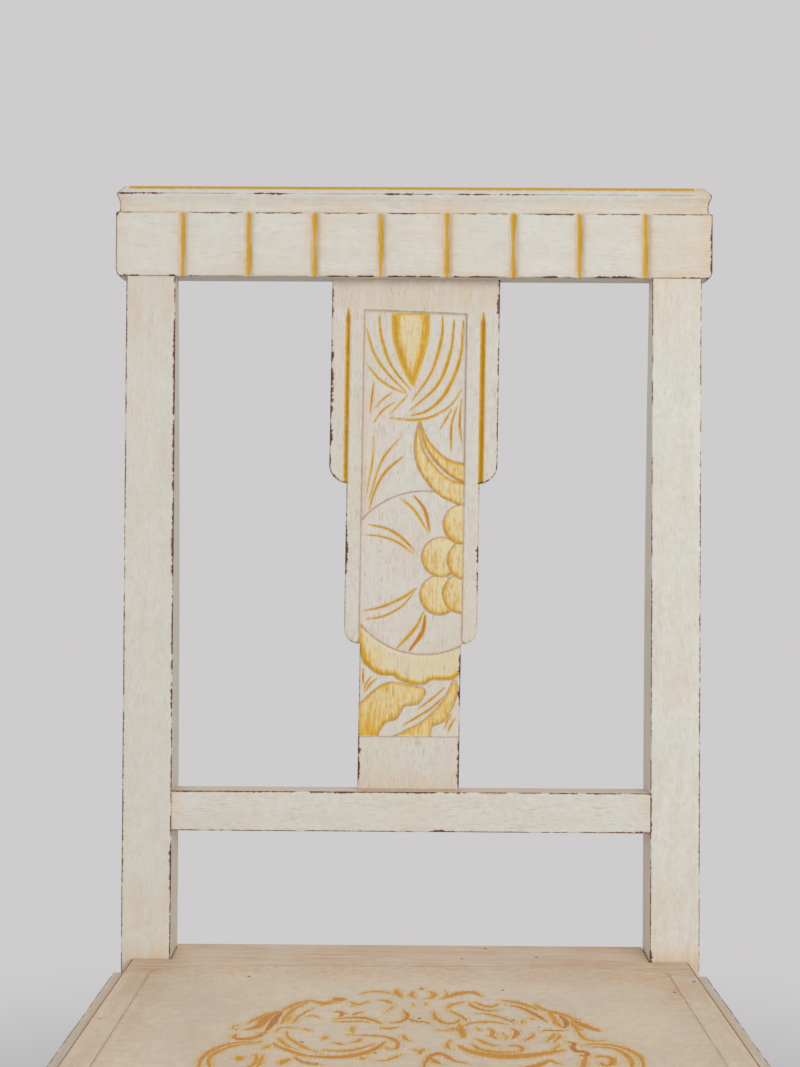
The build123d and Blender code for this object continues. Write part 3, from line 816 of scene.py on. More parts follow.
@dataclass(frozen=True)
class GildedPaint(WornPaint):
    """Worn paint with mustard colour brushed into cuts, and brown lines drawn round forms that also paint the
    shadow in the carved cuts.

    Attributes:
        mustard: The gilding colour where it is full.
        ochre: Its deeper tone, in the cuts.
        burnt: The orange-brown of single strokes.
        line_and_cut_shadow: The brown of the drawn lines, which also paints the shadow in the carved cuts.
        pale: The thinnest wash.
        ragged: How torn the colour's edges are, in millimetres.
        cover: How fully it covers.
        stroke: Which way its brush ran.
        fineness: How fine its brush marks are.
        lines: How far a broad stroke breaks into parallel lines.
        halo: How far a thin haze of it spreads, in millimetres, and its strength below.
        washes: Whether the mesh also carries thin washes, and brown lines with the painted shadow of the
            cuts.
    """

    mustard: Colour = tone(216, 178, 70)
    ochre: Colour = tone(190, 140, 30)
    burnt: Colour = tone(184, 116, 44)
    line_and_cut_shadow: Colour = tone(166, 130, 102)
    pale: Colour = tone(223, 209, 172)
    ragged: float = 0.35
    cover: float = 1.0
    stroke: Grain = Grain.UPRIGHT
    fineness: float = 520.0
    lines: float = 0.0
    halo: float = 1.3
    haze: float = 0.4
    washes: bool = False

    def washed(self, w: Wiring, colour: Socket, strokes: Socket, place: Socket) -> Socket:
        """Lay the thin washes, and the brown lines with the painted shadow of the cuts, over the paint.

        Args:
            w: The material's wiring.
            colour: The colour so far.
            strokes: The texture's space, stretched along the brush.
            place: The texture's space.

        Returns:
            The colour with them.
        """
        hairs, dabs = w.noise(strokes, 720.0, 4.0, 0.75), w.noise(place, 260.0, 3.0)
        hairs, laid = w.plus(w.times(hairs, 0.8), w.times(dabs, 0.2)), w.value_of("wash")
        swing = w.times(w.minus(w.ramp(hairs, 0.38, 0.62), 0.5), w.ramp(laid, 0.15, 0.6, 0.1, 0.6))
        amount = w.plus(laid, swing)
        colour = w.mix(w.ramp(laid, 0.05, 0.4, 0.0, 0.9), colour, self.pale)
        colour = w.mix(w.ramp(amount, 0.3, 1.0), colour, self.mustard)
        colour = w.mix(w.ramp(amount, 0.85, 1.4, 0.0, 0.9), colour, self.ochre)
        lines = w.times(w.ramp(hairs, 0.54, 0.64), w.ramp(laid, 0.05, 0.3, 0.0, 0.45))
        colour = w.mix(lines, colour, self.line_and_cut_shadow)
        # Brown lines round the carved forms, which also paint the shadow along the cuts.
        torn = w.times(w.minus(w.noise(place, 300.0), 0.5), 0.9)
        brown = w.ramp(w.plus(w.value_of("line_and_cut_shadow"), torn), -0.45, 0.35)
        return w.mix(w.times(brown, 0.7), colour, self.line_and_cut_shadow)

    def make(self, shop: Workshop) -> Material:
        """Make the finished material.

        Args:
            shop: The shared node groups.

        Returns:
            The material.
        """
        material, w, coat = self.start(shop)
        place, strokes = coat["place"], w.stretched(coat["place"], self.stroke.value)
        haze = w.ramp(w.value_of("gilt"), -self.halo, 0.1, 0.0, self.haze)
        if self.washes:
            colour = self.washed(w, coat["colour"], strokes, place)
        else:
            colour = coat["colour"]
            haze = w.times(haze, w.ramp(w.noise(strokes, self.fineness, 3.0, 0.7), 0.455, 0.545, 0.08, 1.0))
        colour = w.mix(haze, colour, self.mustard)
        gilt = w.placed(shop.gilding, depth=w.value_of("gilt"), along=strokes, place=place,
                        ragged=self.ragged, cover=self.cover, fineness=self.fineness, lines=self.lines)
        paint = w.mix(gilt["Tone"], self.mustard, self.ochre)
        paint = w.mix(w.value_of("burnt"), paint, self.burnt)
        coat["colour"] = w.mix(gilt["Mask"], colour, paint)
        self.finish(shop, w, coat)
        return material


@dataclass(frozen=True)
class BareBeech:
    """Unpainted beech of the hidden blocks and dowels."""

    name: str = "bare_beech"
    light: Colour = tone(196, 156, 116)
    dark: Colour = tone(158, 116, 80)

    def make(self, shop: Workshop) -> Material:
        """Make the finished material."""
        material = bpy.data.materials.new(self.name)
        w = Wiring.of(material)
        place = w.node("TexCoord").outputs["Object"]
        brush = w.placed(shop.brushwork, along=w.stretched(place, (0.08, 1.0, 1.0)), place=place)
        w.close(w.node("BsdfPrincipled", {
            "Base Color": w.mix(brush["Streak"], self.light, self.dark),
            "Roughness": w.ramp(brush["Streak"], 0.3, 0.7, 0.6, 0.75),
            "Normal": w.bumped(brush["Height"], 0.3, 0.0004)}))
        return material


@dataclass(frozen=True)
class ScrewSteel:
    """Dulled steel of the corner-block screws."""

    name: str = "dull_screw_steel"
    clean: Colour = tone(150, 150, 152)
    tarnished: Colour = tone(98, 92, 86)

    def make(self) -> Material:
        """Make the finished material."""
        material = bpy.data.materials.new(self.name)
        w = Wiring.of(material)
        tarnish = w.noise(w.node("TexCoord").outputs["Object"], 900.0, 3.0)
        w.close(w.node("BsdfPrincipled", {
            "Base Color": w.mix(tarnish, self.clean, self.tarnished), "Metallic": 0.9,
            "Roughness": w.ramp(tarnish, 0.3, 0.7, 0.35, 0.6)}))
        return material


class Finishes:
    """Every finish of the chair, made once."""

    def __init__(self) -> None:
        """Make the materials."""
        shop = Workshop()
        self.upright = WornPaint("cream_paint_upright", Grain.UPRIGHT, line=0.42).make(shop)
        # A darker, more glazed copy of the upright paint for the left post: its darker tone is painted shade,
        # its wider worn line is wear.
        self.upright_left_shaded = WornPaint("cream_paint_upright_left_shaded", Grain.UPRIGHT, cream=tone(211, 209, 202),
                                      amount=0.36, line=0.55).make(shop)
        self.across = WornPaint("cream_paint_across", Grain.ACROSS, cream=tone(213, 213, 208), line=0.5,
                                flecks=0.36).make(shop)
        self.deep = WornPaint("cream_paint_deep", Grain.DEEP).make(shop)
        self.crest = GildedPaint("cream_paint_crest", Grain.ACROSS, cream=tone(214, 212, 205), amount=0.36,
                                 line=0.2, streaks=0.42, ragged=0.5, mustard=tone(202, 160, 58),
                                 ochre=tone(198, 154, 24), halo=2.1, haze=0.62).make(shop)
        self.splat = GildedPaint("cream_paint_carved", Grain.UPRIGHT, cream=tone(212, 207, 200), amount=0.34,
                                 line=0.35, ragged=0.3, streaks=0.6, flecks=0.45, mustard=tone(214, 174, 70),
                                 ochre=tone(194, 146, 8), pale=tone(219, 203, 157), washes=True).make(shop)
        seat = dict(cream=tone(224, 208, 186), glaze=tone(200, 160, 122), amount=0.36,
                    shade=tone(200, 177, 152), cool=tone(212, 203, 186), line=0.2, streaks=0.4,
                    bare=tone(132, 86, 54), rub=tone(186, 140, 98), specks=1.0)
        edged = dict(mustard=tone(172, 104, 34), ochre=tone(142, 82, 24), ragged=0.12, halo=0.6, **seat)
        self.seat_across = GildedPaint("seat_paint_across", Grain.ACROSS, **edged).make(shop)
        self.seat_deep = GildedPaint("seat_paint_deep", Grain.DEEP, **edged).make(shop)
        self.seat_panel = GildedPaint(
            "seat_paint_stencilled", Grain.EVEN, mustard=tone(219, 166, 34), ochre=tone(207, 140, 0),
            burnt=tone(182, 96, 8), ragged=0.55, cover=1.25, stroke=Grain.DEEP, fineness=900.0, lines=0.3,
            halo=4.4, haze=0.8, **seat).make(shop)
        self.beech = BareBeech().make(shop)
        self.steel = ScrewSteel().make()



# ---------------------------------------------------------------- the back
@dataclass
class Posts:
    """The rear posts: leg and post in one, raked above the seat and below the rails."""

    setting: Setting
    inner: float = 162.0
    width: float = 33.5
    depth: float = 34.0
    thinning: float = 1.56e-4
    straight: float = 120.0
    top: float = 462.5
    knee: float = 95.0
    leg_rake: float = math.radians(6.0)
    foot_depth: float = 27.0
    tilt_over: float = 40.0

    # rubbed stretches of each post's arrises: corner, from and to above the seat, width
    RUBBED = {-1: ((1, 256, 431, 0.4), (1, 172, 240, 0.3), (1, 46, 84, 0.4), (1, 1, 6, 1.5),
                   (0, 60, 440, 0.1)),
              1: ((0, 88, 110, 0.4), (0, -3, 2, 2.0), (1, 60, 440, 0.15), (1, 270, 320, 0.2))}

    def section(self, side: int) -> Callable[[float], Section]:
        """Give the section of one post along its length from the floor.

        Args:
            side: -1 for the left post, 1 for the right.

        Returns:
            A section function for a Bar.
        """
        floor = self.setting.seat_top
        foot_back = self.depth + (floor - self.knee) * math.tan(self.leg_rake)
        x0, x1 = sorted((side * self.inner, side * (self.inner + self.width)))

        def at(t: float) -> Section:
            """Corners across and behind the front edge, and where they go."""
            z = t - floor
            lean, front, depth = 0.0, 0.0, self.depth
            if z < -self.knee:
                drop = (-z - self.knee) / (floor - self.knee)
                front = drop * (foot_back - self.foot_depth)
                depth = self.depth + drop * (self.foot_depth - self.depth)
            elif z > 0:
                lean = self.setting.rake * min(1.0, z / self.tilt_over)
                depth = self.depth - self.thinning * max(0.0, z - self.straight) ** 2
                front = z * math.sin(self.setting.rake)
                z = z * math.cos(self.setting.rake)
            return rectangle(x0, 0, x1, depth), lambda p: self.setting.at(
                p[:, 0], front + p[:, 1] * math.cos(lean), z - p[:, 1] * math.sin(lean))
        return at

    def build(self, finishes: Finishes) -> None:
        """Build and dress both posts."""
        floor = self.setting.seat_top
        # Darker where the post meets the seat rails, just above the seat and under the crest rail.
        darkened = (Spot(floor, 13, 0.75), Spot(floor + self.top, 70, 0.45), Spot(floor + 40, 34, 0.3),
                    Spot(floor + self.top - 4, 6, 0.4))
        for side, hand in ((-1, "left"), (1, "right")):
            # Painted shade on each post's inner face and back.
            bar = Bar(self.section(side), floor + self.top, radius=1.0, ends=(End.FREE, End.BUTTED),
                      seed=1.7 + side, breaks=(floor - self.knee, floor, floor + self.straight),
                      nooks=darkened, grime=(0.0, 0.15, 0.2, 0.0) if side < 0 else (0.0, 0.0, 0.2, 0.45),
                      scuffs=tuple(Scuff(c, floor + a, floor + b, w) for c, a, b, w in self.RUBBED[side]))
            make_piece(f"rear_post_{hand}_painted", bar.build(), f"rear_post_{hand}",
                       finishes.upright_left_shaded if side < 0 else finishes.upright)


@dataclass
class LowRail:
    """The low back rail, flush with the posts' fronts."""

    setting: Setting
    half: float = 162.0
    foot: float = 86.5
    top: float = 113.5
    depth: float = 22.0

    def build(self, finishes: Finishes) -> None:
        """Build and dress the rail."""
        joints = (Spot(0, 9, 0.6), Spot(2 * self.half, 9, 0.6), Spot(self.half, 45, 0.25))
        marks = (Scuff(3, 95, 120, 0.4), Scuff(3, 150, 200, 0.3), Scuff(0, 178, 190, 0.9),
                 Scuff(3, 0, 60, 0.2), Scuff(0, 300, 330, 0.4))
        # Painted shade, laid on as glaze, on the rail's top face, and less on its underside and back.
        bar = Bar.even(rectangle(0, self.foot, self.depth, self.top),
                       lambda t, p: self.setting.on_back(t - self.half, p[:, 1], p[:, 0]), 2 * self.half,
                       seed=0.4, nooks=joints, scuffs=marks, grime=(0.3, 0.1, 1.25, 0.0))
        make_piece("lower_back_rail_painted", bar.build(), "lower_back_rail", finishes.across)


@dataclass
class CrestRail:
    """The crest rail: a fluted block under a moulding that returns round both ends."""

    setting: Setting
    width: float = 405.0
    bays: int = 9
    foot: float = 462.5
    block_top: float = 506.0
    top: float = 525.0
    proud: float = 1.0
    back: float = 20.0
    end_radius: float = 3.4
    nosing: float = 0.9
    flute_half: float = 4.3
    flute_depth: float = 3.0
    gilt_half: float = 1.35
    sway: float = 0.25
    back_stain: float = 0.25

    # rubbed stretches of the front's long arrises, by height: from, to, width
    WEAR = {519.0: ((-203, -173, 0.5), (-108, -88, 0.35), (-20, 11, 0.4), (31, 83, 0.3)),
            506.0: ((-203, -190, 0.4), (-149, -121, 0.5), (-108, -76, 0.5), (-62, -32, 0.3), (-16, 2, 0.35),
                    (31, 63, 0.4), (76, 110, 0.4), (124, 157, 0.3), (163, 203, 0.2)),
            462.6: ((-196, -188, 0.8), (-166, -147, 0.35), (-58, 59, 0.3), (88, 110, 0.5), (124, 148, 1.0),
                    (180, 197, 0.45))}

    def profile(self) -> list[tuple[float, float, float, float]]:
        """Height, front setback, end setback and arris distance, from the underside up."""
        r, low, block, top = 0.9, self.foot, self.block_top, self.top
        cove = [(block + 1.5 + k, 2.7 + 0.35 * math.sin(math.pi * k / 6) - 0.2 * k / 6,
                 2.0 + 0.3 * math.sin(math.pi * k / 6), UNWORN) for k in range(1, 7)]
        return [
            (low, r, r, 0.5), (low + 0.12, 0.55, 0.5, 0.2), (low + 0.35, 0.2, 0.2, 0.1),
            (low + r, 0.0, 0.0, 0.6), (low + 4.0, 0.0, 0.0, 4.0),
            *((low + 4.0 + (block - low - 9.5) * k / 12, 0.0, 0.0, UNWORN) for k in range(1, 13)),
            (block - 3.2, 0.0, 0.0, 2.9), (block - 0.7, 0.0, 0.0, 0.5), (block - 0.25, 0.15, 0.15, 0.1),
            (block, 0.5, 0.5, 0.1), (block + 0.3, 1.2, 1.1, 0.8), (block + 0.8, 2.1, 1.7, 2.0),
            (block + 1.5, 2.7, 2.0, UNWORN), *cove, (block + 8.4, 2.15, 1.7, UNWORN),
            (block + 9.3, 1.7, 1.3, 3.0), (block + 10.3, 1.2, 0.85, 2.4), (block + 11.4, 0.8, 0.5, 1.5),
            (block + 12.4, 0.55, 0.3, 0.5), (block + 13.0, 0.55, 0.35, 0.05), (block + 13.4, 0.95, 0.7, 0.3),
            (block + 14.4, 1.6, 1.5, 1.4), (block + 15.4, 2.3, 2.4, 2.4), (block + 16.4, 3.3, 3.5, 2.4),
            (top - 1.6, 4.1, 4.2, 2.4), (top - 0.6, 4.9, 4.9, 2.4), (top - 0.15, 5.5, 5.4, 2.4),
            (top, 6.1, 6.0, 2.4)]

    def rubbed(self, x: Array, s: float) -> Array:
        """How hard the front's long arrises are rubbed at places x, at height s."""
        result = np.zeros(len(x))
        for height, marks in self.WEAR.items():
            near = max(0.0, min(1.0, 1.6 - abs(s - height) / 1.5))
            for start, end, strength in marks:
                fade = np.clip(np.minimum(x - start, end - x) / 4 + 0.5, 0, 1)
                result = np.maximum(result, strength * near * fade)
        return result

    def columns(self) -> Array:
        """Places across the front, as shares of the half width, closer at the ends."""
        half = self.width / 2
        ends = half - np.array([0.0, 0.12, 0.45, 1.0, 2.2])
        inner = np.linspace(-half + 4.0, half - 4.0, 440)
        return np.concatenate([-ends, inner, ends[::-1]]) / half

    def build(self, finishes: Finishes) -> None:
        """Build and dress the rail."""
        rows, share = self.profile(), self.columns()
        half, bay = self.width / 2, self.width / self.bays
        flutes = np.array([-half + bay * k for k in range(1, self.bays)])
        side = np.array([0.25, 1.0, 4.0, 11.0, 17.0, 19.8])
        rings, gaps, gilt, nook, scuff = [], [], [], [], []
        for s, front, end, gap in rows:
            rise = s - self.foot
            if rise < self.end_radius:
                sunk = self.end_radius - rise
                end = max(end, self.end_radius - math.sqrt(max(0.0, self.end_radius ** 2 - sunk ** 2)))
            edge = half - end
            x = share * edge
            reach = np.abs(x[:, None] - flutes[None]).min(axis=1)
            in_block = smooth_step(self.block_top + 2.4, self.block_top - 1.2, s)
            cut = self.flute_depth * in_block * smooth_step(self.flute_half, 0.0, reach) ** 0.85
            off_end = np.minimum(edge - np.abs(x), 1.0)
            face = front - self.proud
            d = face + cut + self.nosing * quarter_round(off_end)
            side_d = face + side * (self.back - face) / (self.back + self.proud)
            back_d = self.back - (0.6 if rise < 0.1 or s > self.top - 0.05 else 0.0)
            round_x = np.concatenate([x, np.full(len(side), edge), x[::-1], np.full(len(side), -edge)])
            round_d = np.concatenate([d, side_d, np.full(len(x), back_d), side_d[::-1]])
            rings.append(self.setting.on_back(round_x, s, round_d))
            side_gap = np.array([0.3, 0.7, 3.6, UNWORN, 2.9, 0.3])
            front_gap = np.minimum(gap + np.where(reach < self.flute_half, 1.2 * in_block, 0.0),
                                   np.where(np.abs(x) > edge - 4.5, np.abs(edge - np.abs(x) - 0.4), UNWORN))
            back_gap = np.minimum(gap, np.where(np.abs(x) > edge - 4.5, edge - np.abs(x), UNWORN))
            gaps.append(np.concatenate([front_gap, np.minimum(side_gap, gap), back_gap[::-1],
                                        np.minimum(side_gap[::-1], gap)]))
            tip = 0.6 * (1 - in_block) * 3 + 0.5 * smooth_step(self.foot + 5, self.foot, s)
            sway = self.sway * np.sin(0.17 * s + 2.1 * np.arange(len(flutes)))
            laid = (self.gilt_half + sway - np.abs(x[:, None] - flutes - 0.6 * sway)).max(axis=1)
            groove = laid - tip if s < self.block_top + 2.2 else np.full(len(x), FAR)
            strip = np.full(len(x), float(np.clip(2.0 * (s - self.top + 2.3), FAR, 1.5)))
            strip = np.where((x > edge - 7.0) | (x < 2.5 - edge), FAR, strip)
            rest = np.full(len(round_x) - len(x), FAR)
            gilt.append(np.concatenate([np.maximum(groove, strip), rest]))
            # Glaze round the flutes and towards the ends; darker along the bottom and at the right end; the
            # band in the cove under the moulding is painted shade.
            crest_glaze_and_shade = np.maximum(0.5 * in_block * smooth_step(10.0, 2.5, reach),
                               0.4 * smooth_step(12.0, 0.0, edge - np.abs(x)))
            crest_glaze_and_shade = np.maximum(crest_glaze_and_shade, 0.35 * max(0.0, 1 - rise / 7.0)) + 0.5 * smooth_step(150.0, 175.0, x)
            crest_glaze_and_shade = crest_glaze_and_shade + 0.42 * smooth_step(5.0, 1.5, abs(s - self.block_top - 4.0))
            nook.append(np.concatenate([crest_glaze_and_shade, np.full(len(rest), self.back_stain)]))
            ends = np.array([1.0 if s < self.block_top else 0.1] * 3 + [0.0] * 3)
            scuff.append(np.concatenate([self.rubbed(x, s), ends, np.zeros(len(x)), 0.2 * ends[::-1]]))
            scuff[-1][np.flatnonzero(x > edge - 1.2)] = ends[0]
        points, faces, values = self.close(rings, gaps, len(share))
        spare, along = len(points) - sum(map(len, gilt)), len(share) - 2
        cap = np.concatenate([np.full(spare - len(side) * along, FAR),
                              np.repeat([1.5, 1.5, 0.2, -3.0, FAR, FAR], along)])
        values["gilt"] = np.concatenate([*gilt, cap])
        values["nook"] = np.concatenate([*nook, np.full(spare, self.back_stain)])
        values["scuff"] = np.concatenate([*scuff, np.zeros(spare)])
        make_piece("crest_rail_painted", (points, faces, values), "crest_rail", finishes.crest)

    def close(self, rings: list[Array], gaps: list[Array], across: int) -> Skin:
        """Skin the rings and close the top and underside with strips from front to back.

        Args:
            rings: Points of each ring: front, right end, back, left end.
            gaps: Their distances from an arris.
            across: How many points lie along the front.

        Returns:
            Points, faces and vertex values.
        """
        points, faces, values = stitch(rings, gaps)
        faces = faces[:-2]
        count = len(rings[0])
        depth = (count - 2 * across) // 2
        parts, arris = [points], [values["arris"]]
        for level in (0, len(rings) - 1):
            ring = level * count + np.arange(count)
            front, right, back, left = np.split(ring, np.cumsum([across, depth, across]))
            back, left = back[::-1], left[::-1]
            inner = sum(map(len, parts)) + np.arange(depth * (across - 2)).reshape(depth, -1)
            grid = np.vstack([front, np.column_stack([left, inner, right]), back])
            deep = np.linalg.norm(points[[*right, back[-1]]] - points[front[-1]], axis=1)
            mix = deep[:-1, None] / deep[-1]
            near, far = points[front[1:-1]], points[back[1:-1]]
            strips = near + (far - near) * mix[:, :, None]
            along = np.linalg.norm(strips - strips[:, :1], axis=2)
            length = np.linalg.norm(points[left] - points[right], axis=1)[:, None]
            to_edge = np.minimum(mix, 1 - mix) * self.back
            parts.append(strips.reshape(-1, 3))
            arris.append(np.minimum(np.minimum(along, length - along) + 0.5, to_edge + 0.4).ravel())
            faces += grid_quads(grid).tolist()
        values["arris"] = np.concatenate(arris)
        return np.concatenate(parts), faces, values


@dataclass
class Splat:
    """The back splat: three tiers, two gilded grooves and a field carved with fruit and leaves.

    The board leans a little to one side. Its outline, grooves and field are worked from its own
    middle line (u); the carving is placed across the chair (x). Both run up the posts (s).
    """

    setting: Setting
    foot: float = 113.5
    top: float = 462.5
    face: float = 9.0
    thick: float = 11.0
    lean: float = 0.0108
    plumb: float = 294.0
    tiers: Rows = ((57.5, 323.0, 12.5), (45.5, 213.0, 10.5), (34.6, 113.5, 0.0))
    groove_x: float = 46.25
    groove_half: float = 1.9
    groove_depth: float = 2.2
    groove_foot: float = 322.0
    groove_top: float = 443.0
    easing: float = 0.9
    field_half: float = 35.1
    field_foot: float = 150.0
    field_top: float = 439.0
    field_slant: float = 0.037
    widening: float = 216.0
    bud_top: float = 439.2
    sunk: float = 1.5
    fruit: tuple[float, float, float] = (8.2, 261.6, 56.0)
    berry_radius: float = 13.5

    # the carving's own parts
    BUD = ((-14.9, 442), (-14.7, 430), (-13.7, 421), (-10.8, 410.5), (-6.8, 400.5), (-2.6, 393), (0.2, 389.6),
           (2.4, 395), (5.7, 404.5), (8.7, 414.3), (10.5, 423), (11.1, 431), (11, 442))
    LEAF_LOW = ((4.6, 367), (1.2, 354), (1.7, 340), (6, 329), (15, 317.5), (25, 311), (38, 307), (38, 321.5),
                (26, 325.5), (16.6, 333), (8, 345), (4.2, 359))
    LEAF_HIGH = ((4.6, 367), (10.4, 353.5), (19, 343.5), (27, 338.5), (38, 335), (38, 323), (27, 327.2),
                 (17.8, 335), (9.2, 346.5), (5, 360))
    BAND = ((-38, 229), (-34.5, 204), (-30, 197.5), (-22, 192), (-13, 191.5), (-8.5, 188.5), (0.5, 185.5),
            (8.5, 185.5), (13.5, 188.3), (20.5, 188.5), (27.5, 189), (31.5, 191.7), (38, 197), (38, 215))
    LEAF_LEFT = ((-38, 171), (-34, 173.5), (-25.5, 181.5), (-15.5, 186.8), (-4, 185.5), (8.5, 182.5),
                 (9.5, 179.5), (4.5, 172), (-4.5, 170.5), (-7.5, 165.5), (-10.5, 161.5), (-17.5, 159),
                 (-21.5, 153.5), (-25, 149), (-38, 149))
    LEAF_RIGHT = ((28.5, 188.5), (21, 174), (9, 161.5), (-5, 153.5), (-14, 148), (10, 148), (14.5, 156.5),
                  (22.5, 160.5), (28, 169.5), (31.6, 180), (30.8, 188))
    BERRIES = ((18.8, 246.5), (34.5, 247.5), (20, 272.5), (37.5, 270.5), (34.5, 295))
    # cuts of the gouge: width, depth, place of the fullest part, tone, and a few places along each
    DRAPERY: Rows = (
        (2.1, 1.1, 0.35, 0, -23.6, 438.5, -21.7, 422, -15, 403.5, -2, 387),
        (1.9, 1, 0.4, 0, -32, 428.5, -27, 412, -18.3, 399, -5, 385.5),
        (1.7, 0.9, 0.4, 0, -32, 404.5, -23.7, 394.5, -13.8, 388, -4.5, 384.3),
        (2.1, 1.1, 0.3, 0, 20, 437.8, 19.2, 422, 12.3, 399, -0.7, 379.5),
        (2.1, 1.1, 0.4, 0, 28, 435.5, 25.3, 412.5, 16.7, 390.5, -2.3, 372.5),
        (2.4, 1.2, 0.6, 0, 34.2, 434.5, 31.9, 408, 22.2, 385, 10.3, 373, -2, 369),
        (1.7, 0.9, 0.6, 0, 33.6, 388, 25.5, 376.3, 12.5, 368.5, -0.6, 366.3, -16, 367.5),
        (1.2, 0.6, 0.5, 0, -3.5, 383.4, -9.5, 377, -16, 370))
    SPRAYS: Rows = (
        (1.5, 0.7, 0.5, 0.3, -27, 392.5, -28.3, 381, -29.4, 370.5),
        (1.2, 0.6, 0.4, 0.3, -14.5, 385, -20.5, 380.5, -26.8, 373.8),
        (1.3, 0.6, 0.6, 0.5, -12.7, 378.3, -20.5, 373, -26.8, 364.5),
        (1.3, 0.6, 0.4, 0.3, 26.6, 374, 23, 367.5, 18.5, 360),
        (1.6, 0.8, 0.5, 0.4, 30, 375.5, 26.4, 363, 26.2, 344.5),
        (1.4, 0.7, 0.5, 0.4, 33, 380.7, 32, 364.3, 33.6, 350.7),
        (1.2, 0.6, 0.5, 0.1, -26.8, 355.2, -27.7, 338, -31.4, 316),
        (1.4, 0.7, 0.3, 0.2, -9.3, 353.7, -21.2, 338, -30.3, 310.5),
        (1.9, 0.9, 0.3, 0.3, -6.5, 341.3, -19, 330.2, -26.5, 316, -29.7, 304))
    PETALS: Rows = (
        (1.9, 0.8, 0.35, 0, -7.6, 312, 1.6, 303.8, 11, 289),
        (2.3, 1, 0.6, 0.6, 0.7, 314.6, 8.3, 304.7, 11.9, 290),
        (2, 0.9, 0.6, 0.2, -30, 294.5, -16.5, 291.3, -6.5, 284.8, 1.4, 277),
        (1.4, 0.7, 0.5, 0.3, -32.7, 287.5, -21.4, 286.3, -9.8, 282.2, 1, 274.4),
        (1.9, 0.9, 0.7, 0.2, -33.4, 235.3, -20.3, 238.3, -6.3, 244.6, 3.2, 251.3),
        (1.4, 0.7, 0.5, 0.4, -31.9, 229.5, -18.7, 232.1, -6.3, 239.2, 1.9, 249.1),
        (2.2, 0.8, 0.6, 0.1, 8.2, 235.3, 2.1, 223.5, -10.3, 209.8),
        (2.9, 1, 0.5, 0.7, 9.1, 232.7, 7.1, 221, -1.9, 208))
    LOW_SPRAYS: Rows = (
        (1.4, 0.7, 0.5, 0.4, 23.1, 183.6, 14.5, 176, 4.6, 168.4),
        (1.5, 0.8, 0.5, 0.4, 22.6, 177.6, 12.6, 168.5, -5.4, 157.4),
        (1.2, 0.6, 0.5, 0.4, -33.1, 196.2, -33.2, 185.2),
        (1.3, 0.6, 0.5, 0.4, -27.6, 190.7, -30.5, 186.5, -32.6, 181.2),
        (1.3, 0.6, 0.5, 0.4, -23.6, 189.3, -28.5, 185, -32, 179.3),
        (1.3, 0.6, 0.5, 0.3, 27.7, 165.6, 24.6, 160.5, 22.2, 154.6),
        (1.3, 0.6, 0.5, 0.3, 30.1, 162.6, 27, 157.5, 24.7, 152.1))
    # rubbed stretches of the edges: side, from, to, width
    WEAR = ((-1, 437, 458, 0.6), (-1, 370, 419, 1.1), (-1, 350, 361, 0.9), (-1, 328, 340, 1.1),
            (-1, 262, 300, 0.9), (1, 437, 462, 0.9), (1, 325, 437, 0.2), (1, 268, 280, 0.8),
            (1, 252, 262, 0.5), (1, 172, 204, 0.7), (-1, 118, 149, 0.8), (1, 118, 149, 0.8))

    def middle(self, s: Array) -> Array:
        """The board's middle line at height s."""
        return self.lean * (s - self.plumb)

    def half_width(self, s: Array) -> Array:
        """Half width of the outline at height s."""
        result = np.zeros_like(s)
        for half, foot, radius in self.tiers:
            here = s >= foot - 1e-6
            drop = np.clip(foot + radius - s, 0, radius)
            result = np.maximum(result, np.where(here, half - radius + np.sqrt(radius ** 2 - drop ** 2), 0))
        return result

    def outline_gap(self, u: Array, s: Array) -> Array:
        """Distance of places on the face from the outline's arris."""
        edge: list[tuple[float, float]] = []
        for half, foot, radius in self.tiers:
            edge.append((half, self.top if not edge else edge[-1][1]))
            for k in range(9):
                a = k * math.pi / 16
                if radius or k == 8:
                    edge.append((half - radius + radius * math.cos(a), foot + radius - radius * math.sin(a)))
        gap, _ = distance_to_line(np.column_stack([np.abs(u), s]), np.array(edge))
        return gap

    @staticmethod
    def region(at: Array, points: Line) -> tuple[Array, Array]:
        """Measure a form that is closed by a straight line between its last and first point.

        Args:
            at: Places (n, 2).
            points: Places that its outline flows through.

        Returns:
            Distance inside its edge (negative outside), and distance from the flowing line alone.
        """
        line = flowing(points, 8)
        gap, _ = distance_to_line(at, line)
        whole, _ = distance_to_line(at, np.vstack([line[-1:], line[:1]]))
        whole = np.minimum(gap, whole)
        return np.where(inside(at, line), whole, -whole), gap

    def forms(self, at: Array, in_field: Array) -> Values:
        """Work out the raised forms of the carved field.

        Args:
            at: Places (n, 2) across and up.
            in_field: Which of them lie in the field.

        Returns:
            Height over the field's floor, wash, brown line with the painted shadow of the cuts, and bud, each
            (n,).
        """
        x, s = at.T
        level, wash, line_and_cut_shadow = np.zeros(len(x)), np.zeros(len(x)), np.full(len(x), FAR)
        fx, fs, fr = self.fruit
        fruit = fr - np.hypot(x - fx, s - fs)
        level = np.maximum(level, 0.55 * smooth_step(-0.15, 1.2, fruit)) - 0.5 * np.exp(-(fruit / 0.7) ** 2)
